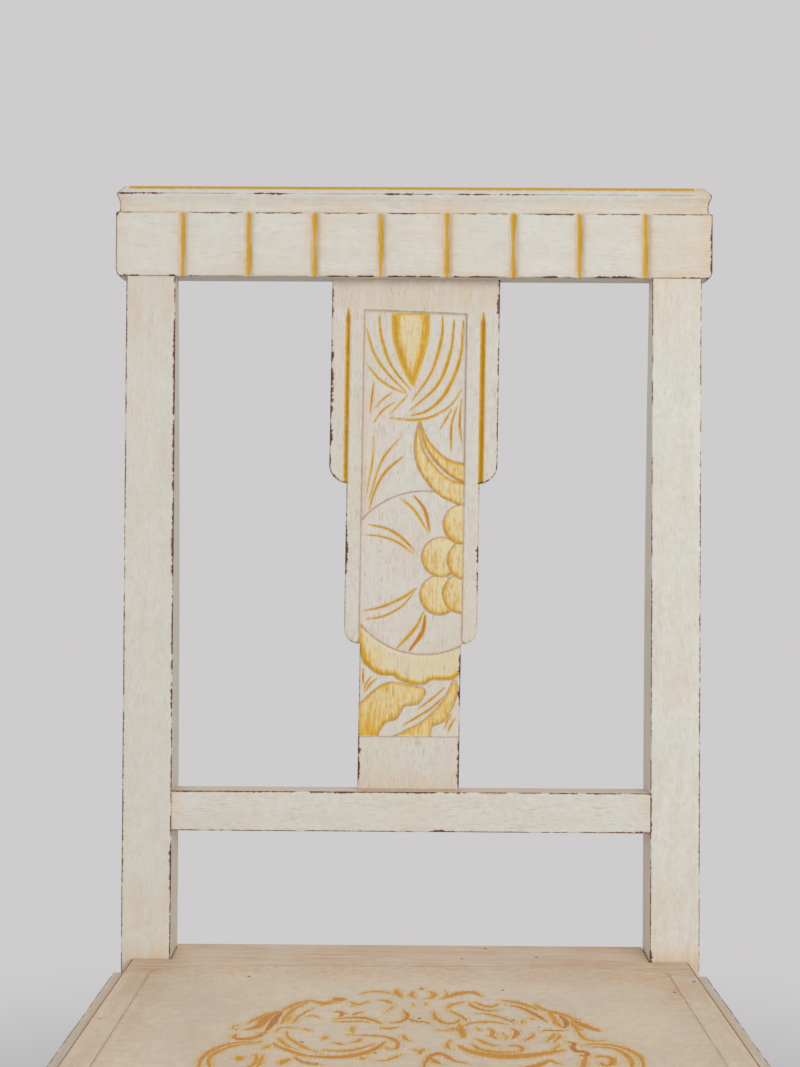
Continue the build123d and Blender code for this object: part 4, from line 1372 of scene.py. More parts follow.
        # The brown line round the fruit paints the shadow in its V-cut.
        line_and_cut_shadow = np.maximum(line_and_cut_shadow, 0.55 - np.abs(fruit))
        bud, bud_edge = self.region(at, self.BUD)
        bud = np.minimum(bud, self.bud_top - s)
        level = np.maximum(level, 1.25 * smooth_step(-0.15, 7.0, bud))
        bloom = smooth_step(8.5 + 0.05 * (s - 400), 0.2, bud_edge) ** 1.25
        wash = np.where(bud > 0, 0.32 + 1.25 * bloom, 0.0)
        corner = smooth_step(172.0, 150.0, s) * smooth_step(-8.0, -30.0, x)
        for points, lift, base, rim, run in (
                (self.LEAF_LOW, 0.85, 0.52, 0.75, 2.6), (self.LEAF_HIGH, 0.85, 0.56, 0.9, 2.8),
                (self.BAND, 0.75, 0.26, 1.05, 5.0), (self.LEAF_LEFT, 0.7, 0.58, 0.5, 3.0),
                (self.LEAF_RIGHT, 0.7, 0.6, 0.4, 3.0)):
            signed, edge = self.region(at, points)
            if points is self.BAND:
                signed = np.minimum(signed, -fruit)
            level = np.where(signed > 0, 0, level) if points in (self.LEAF_LOW, self.LEAF_HIGH) else level
            level = np.maximum(level, lift * smooth_step(-0.15, 2.6, signed))
            tint = base + rim * smooth_step(run, 0.2, edge)
            if points is self.LEAF_LEFT:
                tint = tint + 0.45 * corner
            if points is self.BAND:
                tint = tint + 0.4 * smooth_step(-16.0, -32.0, x) * smooth_step(216.0, 202.0, s)
            wash = np.where(signed > 0, tint, wash)
            line_and_cut_shadow = np.where(signed > 0.4, FAR, line_and_cut_shadow)
            line_and_cut_shadow = np.maximum(line_and_cut_shadow, 0.4 - np.abs(signed))
        for cx, cs in self.BERRIES:
            away = np.hypot(x - cx, s - cs)
            berry = self.berry_radius - away
            dome = 1.15 * np.sqrt(np.clip(1 - (away / self.berry_radius) ** 2, 0, 1)) + 0.25
            within = berry > 0
            level = np.where(within, dome, level)
            low_side = smooth_step(-0.7, 0.9, (-(s - cs) - 0.7 * (x - cx)) / self.berry_radius)
            tint = 0.38 + 0.2 * low_side + (0.1 + 0.5 * low_side) * smooth_step(3.0, 0.2, berry)
            wash = np.where(within, tint, wash)
            line_and_cut_shadow = np.where(berry > 0.4, FAR, line_and_cut_shadow)
            line_and_cut_shadow = np.maximum(line_and_cut_shadow, 0.5 - np.abs(berry))
        return {"level": level, "wash": np.clip(wash, 0, 1.4) * in_field,
                "line_and_cut_shadow": np.where(in_field, line_and_cut_shadow, FAR), "bud": np.where(in_field, bud, FAR)}

    def carve(self, u: Array, s: Array) -> tuple[Array, Values]:
        """Work out the relief and its colours.

        Args:
            u: Across the splat, from its middle line.
            s: Up the posts.

        Returns:
            Depth of the surface below the splat's face, and the vertex values.
        """
        at = np.column_stack([u + self.middle(s), s])
        edge_gap = self.outline_gap(u, s)
        depth = self.easing * quarter_round(np.minimum(edge_gap, 1.0))
        to_side = self.field_half - np.abs(u) + np.clip(self.widening - s, 0.0, 6.0)
        to_top = self.field_top + 1.3 - self.field_slant * u - s
        into_field = np.minimum(np.minimum(to_side, s - self.field_foot), to_top)
        in_field = into_field > 0
        floor = self.sunk * smooth_step(-0.1, 0.9, into_field)
        made = self.forms(at, in_field)
        # Brown line round the field's edge, which paints the shadow of the cut; a dark joint line at the
        # foot.
        line_and_cut_shadow = np.where(into_field > -1.5, 0.45 - np.abs(into_field + 0.1), FAR)
        line_and_cut_shadow = np.where(into_field > 0.5, made["line_and_cut_shadow"], line_and_cut_shadow)
        line_and_cut_shadow = np.maximum(line_and_cut_shadow, 0.5 - np.abs(s - self.foot - 0.4))
        gilt, burnt, cut = np.full(len(u), FAR), np.zeros(len(u)), np.zeros(len(u))
        cuts = (*self.DRAPERY, *self.SPRAYS, *self.PETALS, *self.LOW_SPRAYS)
        for width, deep, full, shade, *places in cuts:
            signed, half = Stroke(places, width, full).measure(at)
            burnt = np.where(signed > gilt, shade, burnt)
            gilt = np.maximum(gilt, signed)
            cut = np.maximum(cut, deep * np.clip(signed / np.maximum(half, 0.1), 0, 1) ** 0.8)
        gilt = np.maximum(gilt, 0.5 - np.abs(made["bud"] - 0.4))
        depth = depth + np.where(in_field, floor - np.clip(made["level"], 0, self.sunk + 0.1), 0.0)
        depth = depth + np.where(into_field > 0.3, cut, 0.0)
        groove = self.groove_half - np.abs(np.abs(u) - self.groove_x)
        high = self.groove_top - 1.8 * np.sign(u)
        tip = np.clip((high - s) / 9.0, 0.0, 1.0) ** 0.7
        groove = np.where((s < high) & (s > self.groove_foot), groove - self.groove_half * (1 - tip), FAR)
        depth = depth + self.groove_depth * np.clip(groove / self.groove_half, 0, 1)
        gilt = np.maximum(gilt, np.where(groove > -2, groove - np.where(u < 0, 0.55, 0.14), FAR))
        burnt = np.where(groove > 0, 0.0, burnt)
        # Painted shade, laid on as glaze, at the top under the crest rail; darker at the foot above the low
        # rail and round the field's edge.
        nook = np.maximum(0.42 * smooth_step(439.0, 445.0, s), 0.5 * smooth_step(136.0, 114.0, s))
        nook = np.maximum(nook, np.where(in_field, 0.35 * smooth_step(4.0, 0.5, into_field), 0.02))
        scuff = np.zeros(len(u))
        for side, low, high, strength in self.WEAR:
            reach = np.clip(np.minimum(s - low, high - s) / 6 + 0.5, 0, 1)
            scuff = np.maximum(scuff, np.where(u * side > 0, strength * reach, 0.0))
        return depth, {"arris": np.minimum(np.abs(edge_gap - 0.3), UNWORN), "gilt": gilt, "burnt": burnt,
                       "wash": made["wash"], "line_and_cut_shadow": line_and_cut_shadow, "nook": nook, "scuff": scuff}

    def build(self, finishes: Finishes) -> None:
        """Build and dress the splat."""
        (w1, f1, _), (w2, f2, _), (w3, _, _) = self.tiers
        right = np.concatenate([np.linspace(0, w3, 54)[1:], [self.field_half],
                                np.linspace(self.field_half, w2, 15)[1:], np.linspace(w2, w1, 19)[1:]])
        columns = np.concatenate([-right[::-1], [0.0], right])
        heights = np.concatenate([
            np.linspace(self.foot, f2, 151)[:-1], np.linspace(f2, f1, 166)[:-1],
            np.linspace(f1, self.top, 211)])
        grid_u, grid_s = np.meshgrid(columns, heights)
        mid_u = (grid_u[:-1, :-1] + grid_u[1:, 1:]) / 2
        mid_s = (grid_s[:-1, :-1] + grid_s[1:, 1:]) / 2
        kept = np.abs(mid_u) < self.half_width(mid_s)
        index = np.arange(grid_u.size).reshape(grid_u.shape)
        used, quads = np.unique(grid_quads(index)[kept.ravel()], return_inverse=True)
        quads = quads.reshape(-1, 4)
        u, s = grid_u.ravel()[used].copy(), grid_s.ravel()[used].copy()
        loop = self.boundary(quads)
        self.settle_on_outline(u, s, loop)
        depth, values = self.carve(u, s)
        parts = [self.setting.on_back(u + self.middle(s), s, self.face + depth)]
        faces = quads.tolist()
        wall_values = {key: [data] for key, data in values.items()}
        last, count, total = np.array(loop), len(loop), len(u)
        back = self.face + self.thick
        for d, inset, gap in ((back - 4.0, 0.0, 3.6), (back - 0.9, 0.0, 0.5), (back - 0.25, 0.25, 0.1),
                              (back, 0.9, 0.5), (back, 3.6, 3.2)):
            plain = {"arris": gap, "gilt": FAR, "line_and_cut_shadow": FAR, "nook": 0.25}
            ring_u, ring_s = self.drawn_in(u[loop], s[loop], inset)
            index = total + np.arange(count)
            faces += band(last, index)
            parts.append(self.setting.on_back(ring_u + self.middle(ring_s), ring_s, d))
            for key, data in wall_values.items():
                data.append(np.full(count, plain.get(key, 0.0)))
            total += count
            last = index
        faces.append(tuple(last.tolist()))
        values = {key: np.concatenate(data) for key, data in wall_values.items()}
        make_piece("back_splat_carved", (np.concatenate(parts), faces, values), "back_splat", finishes.splat,
                   crease=60.0)

    @staticmethod
    def boundary(quads: Array) -> list[int]:
        """Walk the edge of a sheet of quads and give its vertices in order."""
        edges = {(a, b) for q in quads.tolist() for a, b in zip(q, q[1:] + q[:1])}
        onward = {a: b for a, b in edges if (b, a) not in edges}
        loop = [min(onward)]
        while onward[loop[-1]] != loop[0]:
            loop.append(onward[loop[-1]])
        return loop

    def settle_on_outline(self, u: Array, s: Array, loop: list[int]) -> None:
        """Move the stair-stepped vertices of the rounded corners on to their arcs."""
        for half, foot, radius in self.tiers:
            for i in loop:
                cu, cs = half - radius, foot + radius
                du, ds = abs(u[i]) - cu, s[i] - cs
                if radius and du > 0.01 and ds < -0.01:
                    away = math.hypot(du, ds)
                    if radius * 0.8 < away < radius * 1.25:
                        u[i] = math.copysign(cu + du * radius / away, u[i])
                        s[i] = cs + ds * radius / away

    def drawn_in(self, u: Array, s: Array, inset: float) -> tuple[Array, Array]:
        """Draw the outline's vertices into the board by an even distance.

        Args:
            u: Across, from the middle line.
            s: Up the posts.
            inset: How far to draw them in.

        Returns:
            The new places across and up.
        """
        across, up = np.abs(u), s.copy()
        start = across.copy()
        for half, foot, radius in self.tiers:
            in_corner = ((start > half - radius - 1e-3) & (start < half + 1e-3)
                         & (s > foot - 1e-3) & (s < foot + radius))
            on_wall = (np.abs(start - half) < 1e-3) & (s >= foot + radius)
            on_ledge = (np.abs(s - foot) < 1e-3) & (start <= half - radius + 1e-3)
            if radius:
                shrink = 1 - inset / radius
                across = np.where(in_corner, half - radius + (start - half + radius) * shrink, across)
                up = np.where(in_corner, foot + radius + (s - foot - radius) * shrink, up)
            across = np.where(on_wall, half - inset, across)
            up = np.where(on_ledge & ~(in_corner & (radius > 0)), s + inset, up)
        for height, (half, _, _) in ((self.foot, self.tiers[-1]), (self.top, self.tiers[0])):
            across = np.where(np.abs(s - height) < 1e-3, np.minimum(across, half - inset), across)
        return np.copysign(across, u), np.clip(up, self.foot + inset, self.top - inset)


# ---------------------------------------------------------------- the seat frame and legs
@dataclass
class Base:
    """The seat rails with their rebate, the front legs, the stretchers and the hidden blocks."""

    setting: Setting
    run: float = 385.0
    rail_half: float = 200.5
    flare: float = 0.042
    drop: float = 9.4
    height: float = 64.0
    thick: float = 24.0
    ledge: float = 20.0
    lip: float = 12.0
    leg_top: float = 40.0
    leg_foot: float = 28.0

    def outer(self, y: float | Array) -> float | Array:
        """Outer face of the side rails at y."""
        return self.rail_half - self.flare * y

    def rail_corners(self) -> Array:
        """Section of a rebated rail: distance in from its outer face, and height."""
        foot = -self.drop - self.height
        return np.array([(0, foot), (self.thick, foot), (self.thick, -self.ledge), (self.lip, -self.ledge),
                         (self.lip, -self.drop), (0, -self.drop)])

    def side_rail(self, side: int) -> Bar:
        """One side rail, from the front leg back to the post."""
        start = -self.run + self.leg_top

        def place(t: float, p: Array) -> Array:
            """Set section points at t behind the front leg."""
            return self.setting.at(side * (self.outer(start + t) - p[:, 0]), start + t, p[:, 1])
        # Painted shade, laid on as glaze, on the faces of the rebate beside the seat, and less on the rail's
        # inner face.
        return Bar.even(self.rail_corners(), place, -start, radius=1.1, ends=(End.BUTTED, End.FREE),
                        seed=3.0 + side, grime=(0.1, 0.3, 0.5, 1.0, 0.8, 0.1))

    def front_rail(self) -> Bar:
        """The front rail, between the legs."""
        half = self.outer(-self.run) - self.leg_top
        return Bar.even(self.rail_corners(),
                        lambda t, p: self.setting.at(t - half, -self.run + p[:, 0], p[:, 1]), 2 * half,
                        radius=1.1, seed=5.0)

    def back_rail(self) -> Bar:
        """The back rail, between the posts."""
        half, near, deep = Posts.inner, 8.0, 28.0
        corners = rectangle(near, -self.drop - self.height, deep, -self.ledge)
        return Bar.even(corners, lambda t, p: self.setting.at(t - half, p[:, 0], p[:, 1]), 2 * half, seed=6.0)

    def leg(self, side: int) -> Bar:
        """One front leg: tapered, with the corner of the seat's rebate let into its top."""
        floor = self.setting.seat_top
        rail_foot = floor - self.drop - self.height
        notch = floor - self.ledge

        def section(t: float) -> Section:
            """Plan at t above the floor, as distances in from the outer corner."""
            up = min(1.0, t / rail_foot)
            size = self.leg_foot + (self.leg_top - self.leg_foot) * up
            inner = (self.lip, self.lip) if t > notch else (size, size)
            corners = np.array([(0, 0), (size, 0), (size, self.lip), inner, (self.lip, size), (0, size)])
            slant = self.flare * min(1.0, up)

            def place(p: Array) -> Array:
                """Set plan points in the row frame."""
                x = self.outer(-self.run) - slant * p[:, 1] * (1 - p[:, 0] / self.leg_top) - p[:, 0]
                return self.setting.at(side * x, -self.run + p[:, 1], t - floor)
            return corners, place
        return Bar(section, floor - self.drop, radius=1.1, ends=(End.FREE, End.FREE), seed=7.0 + side,
                   breaks=(rail_foot, notch - 0.02, notch + 0.02), pitch=14.0)

    def stretcher(self, side: int) -> Bar:
        """One side stretcher, housed in the legs."""
        up, high, wide, leg, tenon = 150.0, 22.0, 15.0, 32.8, 11.0
        start = np.array([self.outer(-self.run) - leg / 2, -self.run + leg - tenon])
        floor = self.setting.seat_top
        below = floor - Posts.knee
        foot_front = Posts.depth + below * math.tan(Posts.leg_rake) - Posts.foot_depth
        end = np.array([Posts.inner + Posts.width / 2, (below - up) / below * foot_front + tenon])

        def place(t: float, p: Array) -> Array:
            """Set section points at t behind the front leg."""
            x, y = start + (end - start) * (t / (end[1] - start[1]))
            return self.setting.at(side * (x + p[:, 0]), y, up - floor + p[:, 1])
        return Bar.even(rectangle(-wide / 2, -high / 2, wide / 2, high / 2), place, end[1] - start[1],
                        radius=1.2, seed=9.0 + side)

    def cross_stretcher(self) -> Bar:
        """The cross stretcher, housed in the side stretchers."""
        low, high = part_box("cross_stretcher")
        half = high.x / MM
        return Bar.even(rectangle(low.y / MM, low.z / MM, high.y / MM, high.z / MM),
                        lambda t, p: np.column_stack([np.full(len(p), t - half), p]), 2 * half,
                        radius=1.2, seed=11.0)

    def build(self, finishes: Finishes) -> None:
        """Build and dress every piece of the base."""
        jobs: list[tuple[str, Bar, Material]] = [
            ("front_seat_rail", self.front_rail(), finishes.across),
            ("back_seat_rail", self.back_rail(), finishes.across),
            ("cross_stretcher", self.cross_stretcher(), finishes.across)]
        for side, hand in ((-1, "left"), (1, "right")):
            jobs += [(f"side_seat_rail_{hand}", self.side_rail(side), finishes.deep),
                     (f"front_leg_{hand}", self.leg(side), finishes.upright),
                     (f"side_stretcher_{hand}", self.stretcher(side), finishes.deep)]
        for node, bar, material in jobs:
            make_piece(f"{node}_painted", bar.build(), node, material)
        for place in ("rear_left", "rear_right", "front_left", "front_right"):
            dress(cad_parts[f"corner_block_{place}"], finishes.beech)
        dress(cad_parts["crest_dowels"], finishes.beech)
        dress(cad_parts["corner_block_screws"], finishes.steel)


# ---------------------------------------------------------------- the lift-out seat
@dataclass
class Seat:
    """The lift-out seat: a framed panel with a mustard stencil of scrolls and leaves."""

    setting: Setting
    base: Base
    edge: float = 13.0
    thick: float = 20.0
    side_member: float = 18.0
    front_member: float = 44.0
    back_line: float = 12.0
    ear_line: float = 28.5
    joint: float = 0.01
    edge_line: float = 0.8
    step: float = -0.8
    tongue_half: float = 161.2

    def half(self, y: float | Array) -> float | Array:
        """Edge of the seat at y."""
        return self.base.outer(y) - self.edge

    @property
    def front(self) -> float:
        """Front edge of the seat."""
        return -self.base.run + self.edge

    def sweep(self, inset: float = 0.0) -> list[tuple[float, float]]:
        """Right half of the line between back member and panel, from the middle outwards."""
        ear = self.half(-self.ear_line) - self.side_member
        straight = 0.6 * ear
        run = np.linspace(0, 1, 9)[1:]
        mid = (0.84 * ear, -self.back_line - 3.6)
        end = (ear, -self.ear_line + 3.5)
        through = flowing([(straight - 30, -self.back_line), (straight, -self.back_line), mid, end], 8)
        drawn = [(float(x) - inset * 0.6, float(y) - inset) for x, y in through[8:]]
        return [(0.0, -self.back_line - inset), *drawn]

    def back_member(self) -> list[tuple[float, float]]:
        """Plan of the back member, counter-clockwise."""
        ear = self.half(-self.ear_line) - self.side_member
        right = [*self.sweep()[1:], (ear, -self.ear_line), (self.half(-self.ear_line), -self.ear_line),
                 (self.half(self.step), self.step), (self.tongue_half, self.step),
                 (self.tongue_half, Posts.depth)]
        return right + [(-x, y) for x, y in reversed(right)]

    def members(self) -> dict[str, list[tuple[float, float]]]:
        """Plans of the four members."""
        fore, rear = self.front + self.front_member, -self.ear_line
        left = [(-self.half(rear), rear), (-self.half(fore), fore),
                (-self.half(fore) + self.side_member, fore), (-self.half(rear) + self.side_member, rear)]
        return {
            "seat_back_member": self.back_member(),
            "seat_front_member": [(-self.half(self.front), self.front), (self.half(self.front), self.front),
                                  (self.half(fore), fore), (-self.half(fore), fore)],
            "seat_side_member_left": left,
            "seat_side_member_right": [(-x, y) for x, y in reversed(left)],
        }

    def panel_half(self, y: Array) -> Array:
        """Half width of the panel at y."""
        line = np.array(self.sweep(self.joint)[1:])
        order = np.argsort(line[:, 1])
        curve = np.where(y < line[:, 1].min(), 999.0, np.interp(y, line[order, 1], line[order, 0]))
        straight = self.half(y) - self.side_member - self.joint
        return np.minimum(curve, straight)

    def build(self, finishes: Finishes) -> None:
        """Build and dress the seat."""
        for node, plan in self.members().items():
            # The back member and the left side member carry painted shade, laid on as glaze.
            darkening = {"seat_back_member": 0.6, "seat_side_member_left": 0.4}.get(node, 0.1)
            points, faces, values = plate(plan, -self.thick, 0.0, self.setting, 0.14, darkening)
            to_side = self.half(points[:, 1] - self.setting.post_front) - np.abs(points[:, 0])
            drop = self.setting.seat_top - points[:, 2]
            values["gilt"] = np.maximum(self.edge_line - np.maximum(to_side, drop), FAR)
            material = finishes.seat_deep if "side" in node else finishes.seat_across
            make_piece(f"{node}_painted", (points, faces, values), node, material, SEAT_BODY)
        self.build_panel(finishes)

    def build_panel(self, finishes: Finishes) -> None:
        """Build the panel with a fine grid under the stencil."""
        fore = self.front + self.front_member + self.joint
        rear = -self.back_line - self.joint
        rise = np.array([0.0, 0.12, 0.4, 1.0, 3.4])
        rows = np.concatenate([fore + rise, np.linspace(fore + 6, -306, 5), np.arange(-304.0, -196.0, 1.5),
                               np.arange(-196.0, -54.0, 0.8), np.linspace(-52, -30, 7),
                               np.arange(-27.5, rear - 3.6, 1.2), rear - rise[::-1]])
        rows = np.unique(np.round(rows, 3))
        edge = np.array([0.0, 0.0014, 0.0044, 0.011, 0.038, 0.1, 0.16, 0.22, 0.26])
        share = np.concatenate([edge - 1, np.linspace(-0.7, 0.79, 308), 1 - edge[:-1][::-1]])
        share = np.unique(share)
        half = self.panel_half(rows)
        x = share[None, :] * half[:, None]
        y = np.broadcast_to(rows[:, None], x.shape)
        off_side = (1 - np.abs(share))[None, :] * half[:, None]
        off_end = np.minimum(rows - fore, rear - rows)[:, None]
        gap = np.minimum(off_side, off_end)
        ease = 0.1 * quarter_round(np.clip(gap / 0.4, 0, 1))
        index = np.arange(x.size).reshape(x.shape)
        loop = [*index[0, :], *index[1:, -1], *index[-1, -2::-1], *index[-2:0:-1, 0]]
        at = np.column_stack([x.ravel(), y.ravel()])
        gilt, burnt = Stencil().paint(at)
        points = self.setting.at(x.ravel(), y.ravel(), -ease.ravel())
        under = self.setting.at(x.ravel()[loop], y.ravel()[loop], -self.thick)
        lower = x.size + np.arange(len(loop))
        count = len(loop)
        faces = grid_quads(index).tolist()
        faces += list(zip(loop, lower, np.roll(lower, -1), np.roll(loop, -1)))
        faces.append(tuple(lower.tolist())[::-1])
        # Painted shade towards the back of the seat and along its sides; darker still at the joints round the
        # panel.
        nook = np.maximum(0.55 * smooth_step(-70.0, -14.0, at[:, 1]),
                          0.3 * smooth_step(26.0, 0.0, off_side.ravel()))
        nook = np.maximum(nook, smooth_step(1.9, 0.2, gap.ravel()))
        values = {"arris": (np.minimum(gap.ravel() + 0.25, UNWORN), UNWORN), "gilt": (gilt, FAR),
                  "burnt": (burnt, 0.0), "nook": (nook, 0.2)}
        skin = (np.concatenate([points, under]), faces,
                {key: np.append(data, np.full(count, plain)) for key, (data, plain) in values.items()})
        make_piece("seat_panel_stencilled", skin, "seat_panel", finishes.seat_panel, SEAT_BODY)


@dataclass
class Stencil:
    """A cartouche of scrolls and acanthus, brushed thinly, with its front half a mirror of the rear.

    Each stroke is its full width, its tone from mustard to burnt, and then a few places along it, each
    as its distance across from the chair's middle and in front of the rear posts.
    """

    mirror: float = -196.0
    squeeze: float = 0.78
    swell: float = 1.17

    CENTRE: Rows = (
        (5.6, 0.5, 6.3, 58.5, 8.9, 58.5), (3, 0.2, 2.5, 63.5, 0.8, 70, 2.5, 75.5),
        (3.6, 0.1, 13, 62.5, 15.5, 70, 12.5, 76, 9.5, 77.5), (1.6, 0, 1.5, 84, 2.5, 91),
        (1.4, 0, 10, 84, 9.5, 90), (2.2, 0.5, -1, 113, 2, 117, 9, 119.5, 13, 123),
        (1.8, 0.3, 2, 164, 5.5, 166.5, 9, 163.5), (2.4, 0.3, 5.5, 165, 6, 172),
        (3.2, 0.4, 7.5, 192, 8.5, 184, 12, 174, 16.5, 170, 20, 173.5, 25, 181.5, 32, 184.5),
        (3, 0.3, 12, 177, 14.5, 183, 17.5, 187))
    LEFT: Rows = (
        (4.5, 0, -8.5, 59.5, -8.5, 66, -5, 75.5), (3, 0, -11, 69, -18, 64.5, -26, 65, -32, 70),
        (3, 0.2, -20, 80.5, -15, 81.5, -10.5, 87), (1.5, 0, -9, 90, -13, 97, -15.5, 104),
        (2.4, 0.6, -4.5, 98, -1.5, 107, -3.5, 116, -9, 120.5, -14, 119.5),
        (7, 0.3, -48, 77, -45, 79, -40, 79), (3.5, 0.2, -62, 81, -57, 85.5, -52, 86.5, -47, 81),
        (2.5, 0, -56, 93, -52, 88, -44, 84), (2.2, 0.2, -38, 83, -33, 88.5, -30, 88, -26.5, 83),
        (1.5, 0, -36, 88, -34.5, 93.5), (3, 0.15, -61, 82, -67, 90, -72, 100, -75, 112, -77, 125),
        (2.2, 0.2, -59, 95, -64, 104, -68, 113, -70, 122),
        (3.5, 0.1, -62.5, 80.5, -70, 88, -76, 97, -78.5, 102), (1.6, 0, -75, 104, -76.5, 114, -77, 123),
        (1.6, 0, -72, 110, -74, 122), (4.2, 0.8, -78, 103, -80.5, 112, -82.5, 124, -85, 136),
        (4.2, 0.4, -85, 136, -88, 144, -94, 149, -100, 149.5, -103, 146, -102, 142),
        (5.5, 0.35, -79.5, 101, -84, 108, -88, 118, -90, 128, -95, 133, -98, 134.5),
        (1.6, 0.1, -98, 134, -103, 134, -105.5, 131, -103.5, 127.5, -99, 128.5),
        (2.5, 0.2, -85, 104, -90, 111, -95, 120, -98, 126), (1.5, 0, -83, 139, -88, 140.5, -92, 137.5),
        (3, 0.3, -84, 154, -92, 154, -100, 155.5, -107, 160, -113, 167.5, -116.5, 177, -117.5, 188, -116,
         200),
        (2.6, 0.25, -86, 155.5, -96, 158.5, -104, 163, -110, 171, -113, 180, -112, 190, -109, 200),
        (2, 0, -87, 164.5, -83, 163.5, -80.5, 159), (2.4, 0.2, -88, 172, -86.5, 180, -88, 190, -93, 199),
        (2.2, 0.1, -84, 172, -83.5, 182, -85, 192, -90, 201), (5, 0, -97, 176, -95, 183),
        (4.5, 0.35, -65, 174, -55, 176, -45, 177, -35, 175.5, -26, 170, -19, 162, -14.5, 152),
        (3, 0.2, -50, 166.5, -42, 167.5, -33, 166, -25, 160, -20, 155),
        (3.5, 0.25, -80, 155, -74, 163, -66, 170, -58, 175), (2, 0.1, -77, 147, -72, 158, -64, 166.5),
        (2.4, 0.1, -72.5, 135, -71, 146, -64, 158, -57, 166, -50, 172),
        (2, 0.1, -79, 138, -78, 132, -73, 130, -68, 130.5), (2, 0.2, -65, 131.5, -61, 133, -59, 135.5),
        (3.4, 0.35, -45, 115, -40, 113, -33, 112, -26, 113.5, -21, 118, -16.5, 123.5),
        (2.2, 0.3, -46, 119.5, -38, 119.5, -30, 118.5, -24, 121),
        (3, 0.7, -47, 103, -43, 102.5, -41, 106, -43, 111), (2.2, 0.5, -35.5, 108, -32, 104, -29, 102),
        (1.8, 0, -63, 111, -58, 109.5, -54.5, 114), (2, 0.1, -33.5, 126, -34.5, 133, -33, 140),
        (2.6, 0.35, -38, 141, -30, 142, -22, 142.5, -14, 144.5, -9, 149.5, -7, 157, -8.5, 163.5, -12.5,
         163.5, -13.5, 161),
        (3.4, 0.1, -49.5, 144, -50, 150), (2, 0.4, -44, 154, -38.5, 158),
        (1.8, 0.4, -35, 154.5, -30, 151.5, -29, 147.5), (2.2, 0.4, -19, 129, -12, 130.5, -6, 127.5),
        (2.4, 0.2, -4, 140, -3, 147, 0.5, 151.5), (1.8, 0.2, -28, 175, -26.5, 180, -25.5, 177),
        (2, 0.2, -20, 182, -14, 181.5, -9, 177, -4, 171.5), (4, 0.1, -72, 189, -71, 184, -67, 179.5),
        (3, 0.4, -65, 177, -62, 183, -56, 187, -50, 189))
    RIGHT: Rows = (
        (5.5, 0.2, 20, 77, 26, 71.5, 33, 65.5, 40, 65, 45, 71.5), (1.6, 0, 22.5, 62.5, 23.5, 68, 21.5, 73),
        (3, 0.1, 22.5, 95, 26, 88, 35, 82), (3, 0.4, 36.5, 84, 39, 91, 44, 96.5, 50, 98.5, 55.5, 96),
        (3, 0.3, 41, 83, 44, 88, 50, 91, 55, 85.5), (4, 0.1, 57, 78.5, 62, 80.5, 68, 84, 75, 91, 79, 97),
        (2.8, 0.65, 60, 88, 68, 92, 75, 102, 80, 112, 83, 119),
        (3.5, 0.2, 77, 86, 82, 95, 89, 101, 94, 105, 99, 111, 104, 114.5),
        (2.6, 0.05, 85, 98, 87, 110, 89, 122), (3.4, 0.75, 91, 106, 93.5, 114, 93.5, 123, 91.5, 128),
        (2.6, 0.2, 86.5, 110, 88, 120, 91, 127.5), (5.5, 0.3, 97, 113, 102, 120, 107, 127, 113, 133),
        (3, 0.2, 96, 117, 99, 126, 103, 132),
        (2.6, 0.1, 98, 124, 99.5, 134, 101, 143, 104, 147, 109, 149, 114, 147),
        (3.4, 0.8, 91, 150, 95, 153, 93.5, 159, 95, 165, 99, 165.5, 101, 169.5, 98.5, 172.5, 96, 170),
        (2.8, 0.3, 99, 157, 104, 154, 112, 154, 120, 157, 126, 163.5, 130, 172, 130.5, 182, 129, 193),
        (3.4, 0.15, 104, 158.5, 112, 158.5, 119, 163, 123, 171, 124.5, 181, 123, 192),
        (3, 0.3, 100, 173, 98, 180, 96, 190, 97, 199),
        (3.6, 0.25, 104, 174, 110, 172.5, 114, 177, 113, 184, 109, 186.5, 106, 182),
        (7, 0.1, 28, 157, 33, 165, 42, 171, 54, 174, 68, 172, 80, 167.5, 89, 163),
        (3, 0.2, 36, 155, 40, 163, 50, 167.5, 62, 167), (1.5, 0, 79, 167, 84, 160, 88, 153),
        (2.8, 0.25, 32, 126, 36, 121, 43, 118.5, 51, 118.5, 58, 122),
        (2.4, 0.3, 41, 103.5, 47, 104, 54, 109.5, 60, 116, 63, 122),
        (2.6, 0.2, 24, 98, 28, 104, 32, 110, 34.5, 118),
        (3.2, 0.25, 14.5, 100, 15, 110, 18, 117, 23, 121.5, 28, 119, 30, 113),
        (3, 0.45, 59.5, 129, 63, 133, 62.5, 139, 59.5, 146), (2.6, 0.3, 47, 129, 49, 135, 48, 141, 51, 147),
        (1.4, 0, 40, 128, 42, 134), (1.4, 0, 54, 136, 57, 142, 55, 148),
        (2.6, 0.1, 38, 146, 42, 151, 47, 156, 52, 158.5), (2.6, 0.3, 57, 157, 62, 157, 64.5, 162, 63, 167),
        (4, 0.2, 29.5, 122, 30.5, 132, 31, 146), (2.4, 0.4, 21, 129, 29, 130.5, 33, 130),
        (1.4, 0.2, 14, 133.5, 24, 133, 30, 133), (1.8, 0.1, 24, 148, 21.5, 154, 22, 161, 24.5, 163.5),
        (2, 0, 68, 114, 67, 122), (2.4, 0, 72, 112, 76, 113), (2.4, 0.2, 66, 150, 71, 143, 73, 137),
        (2.2, 0.5, 78, 134.5, 80, 131.5, 86, 132, 92, 132), (2.4, 0.15, 79, 151, 83, 143, 86, 136.5),
        (2, 0.1, 83, 152, 87, 144, 89, 138), (3, 0.2, 74, 187, 78, 180, 84, 185.5),
        (5, 0.3, 62, 192, 70, 188, 74, 183))

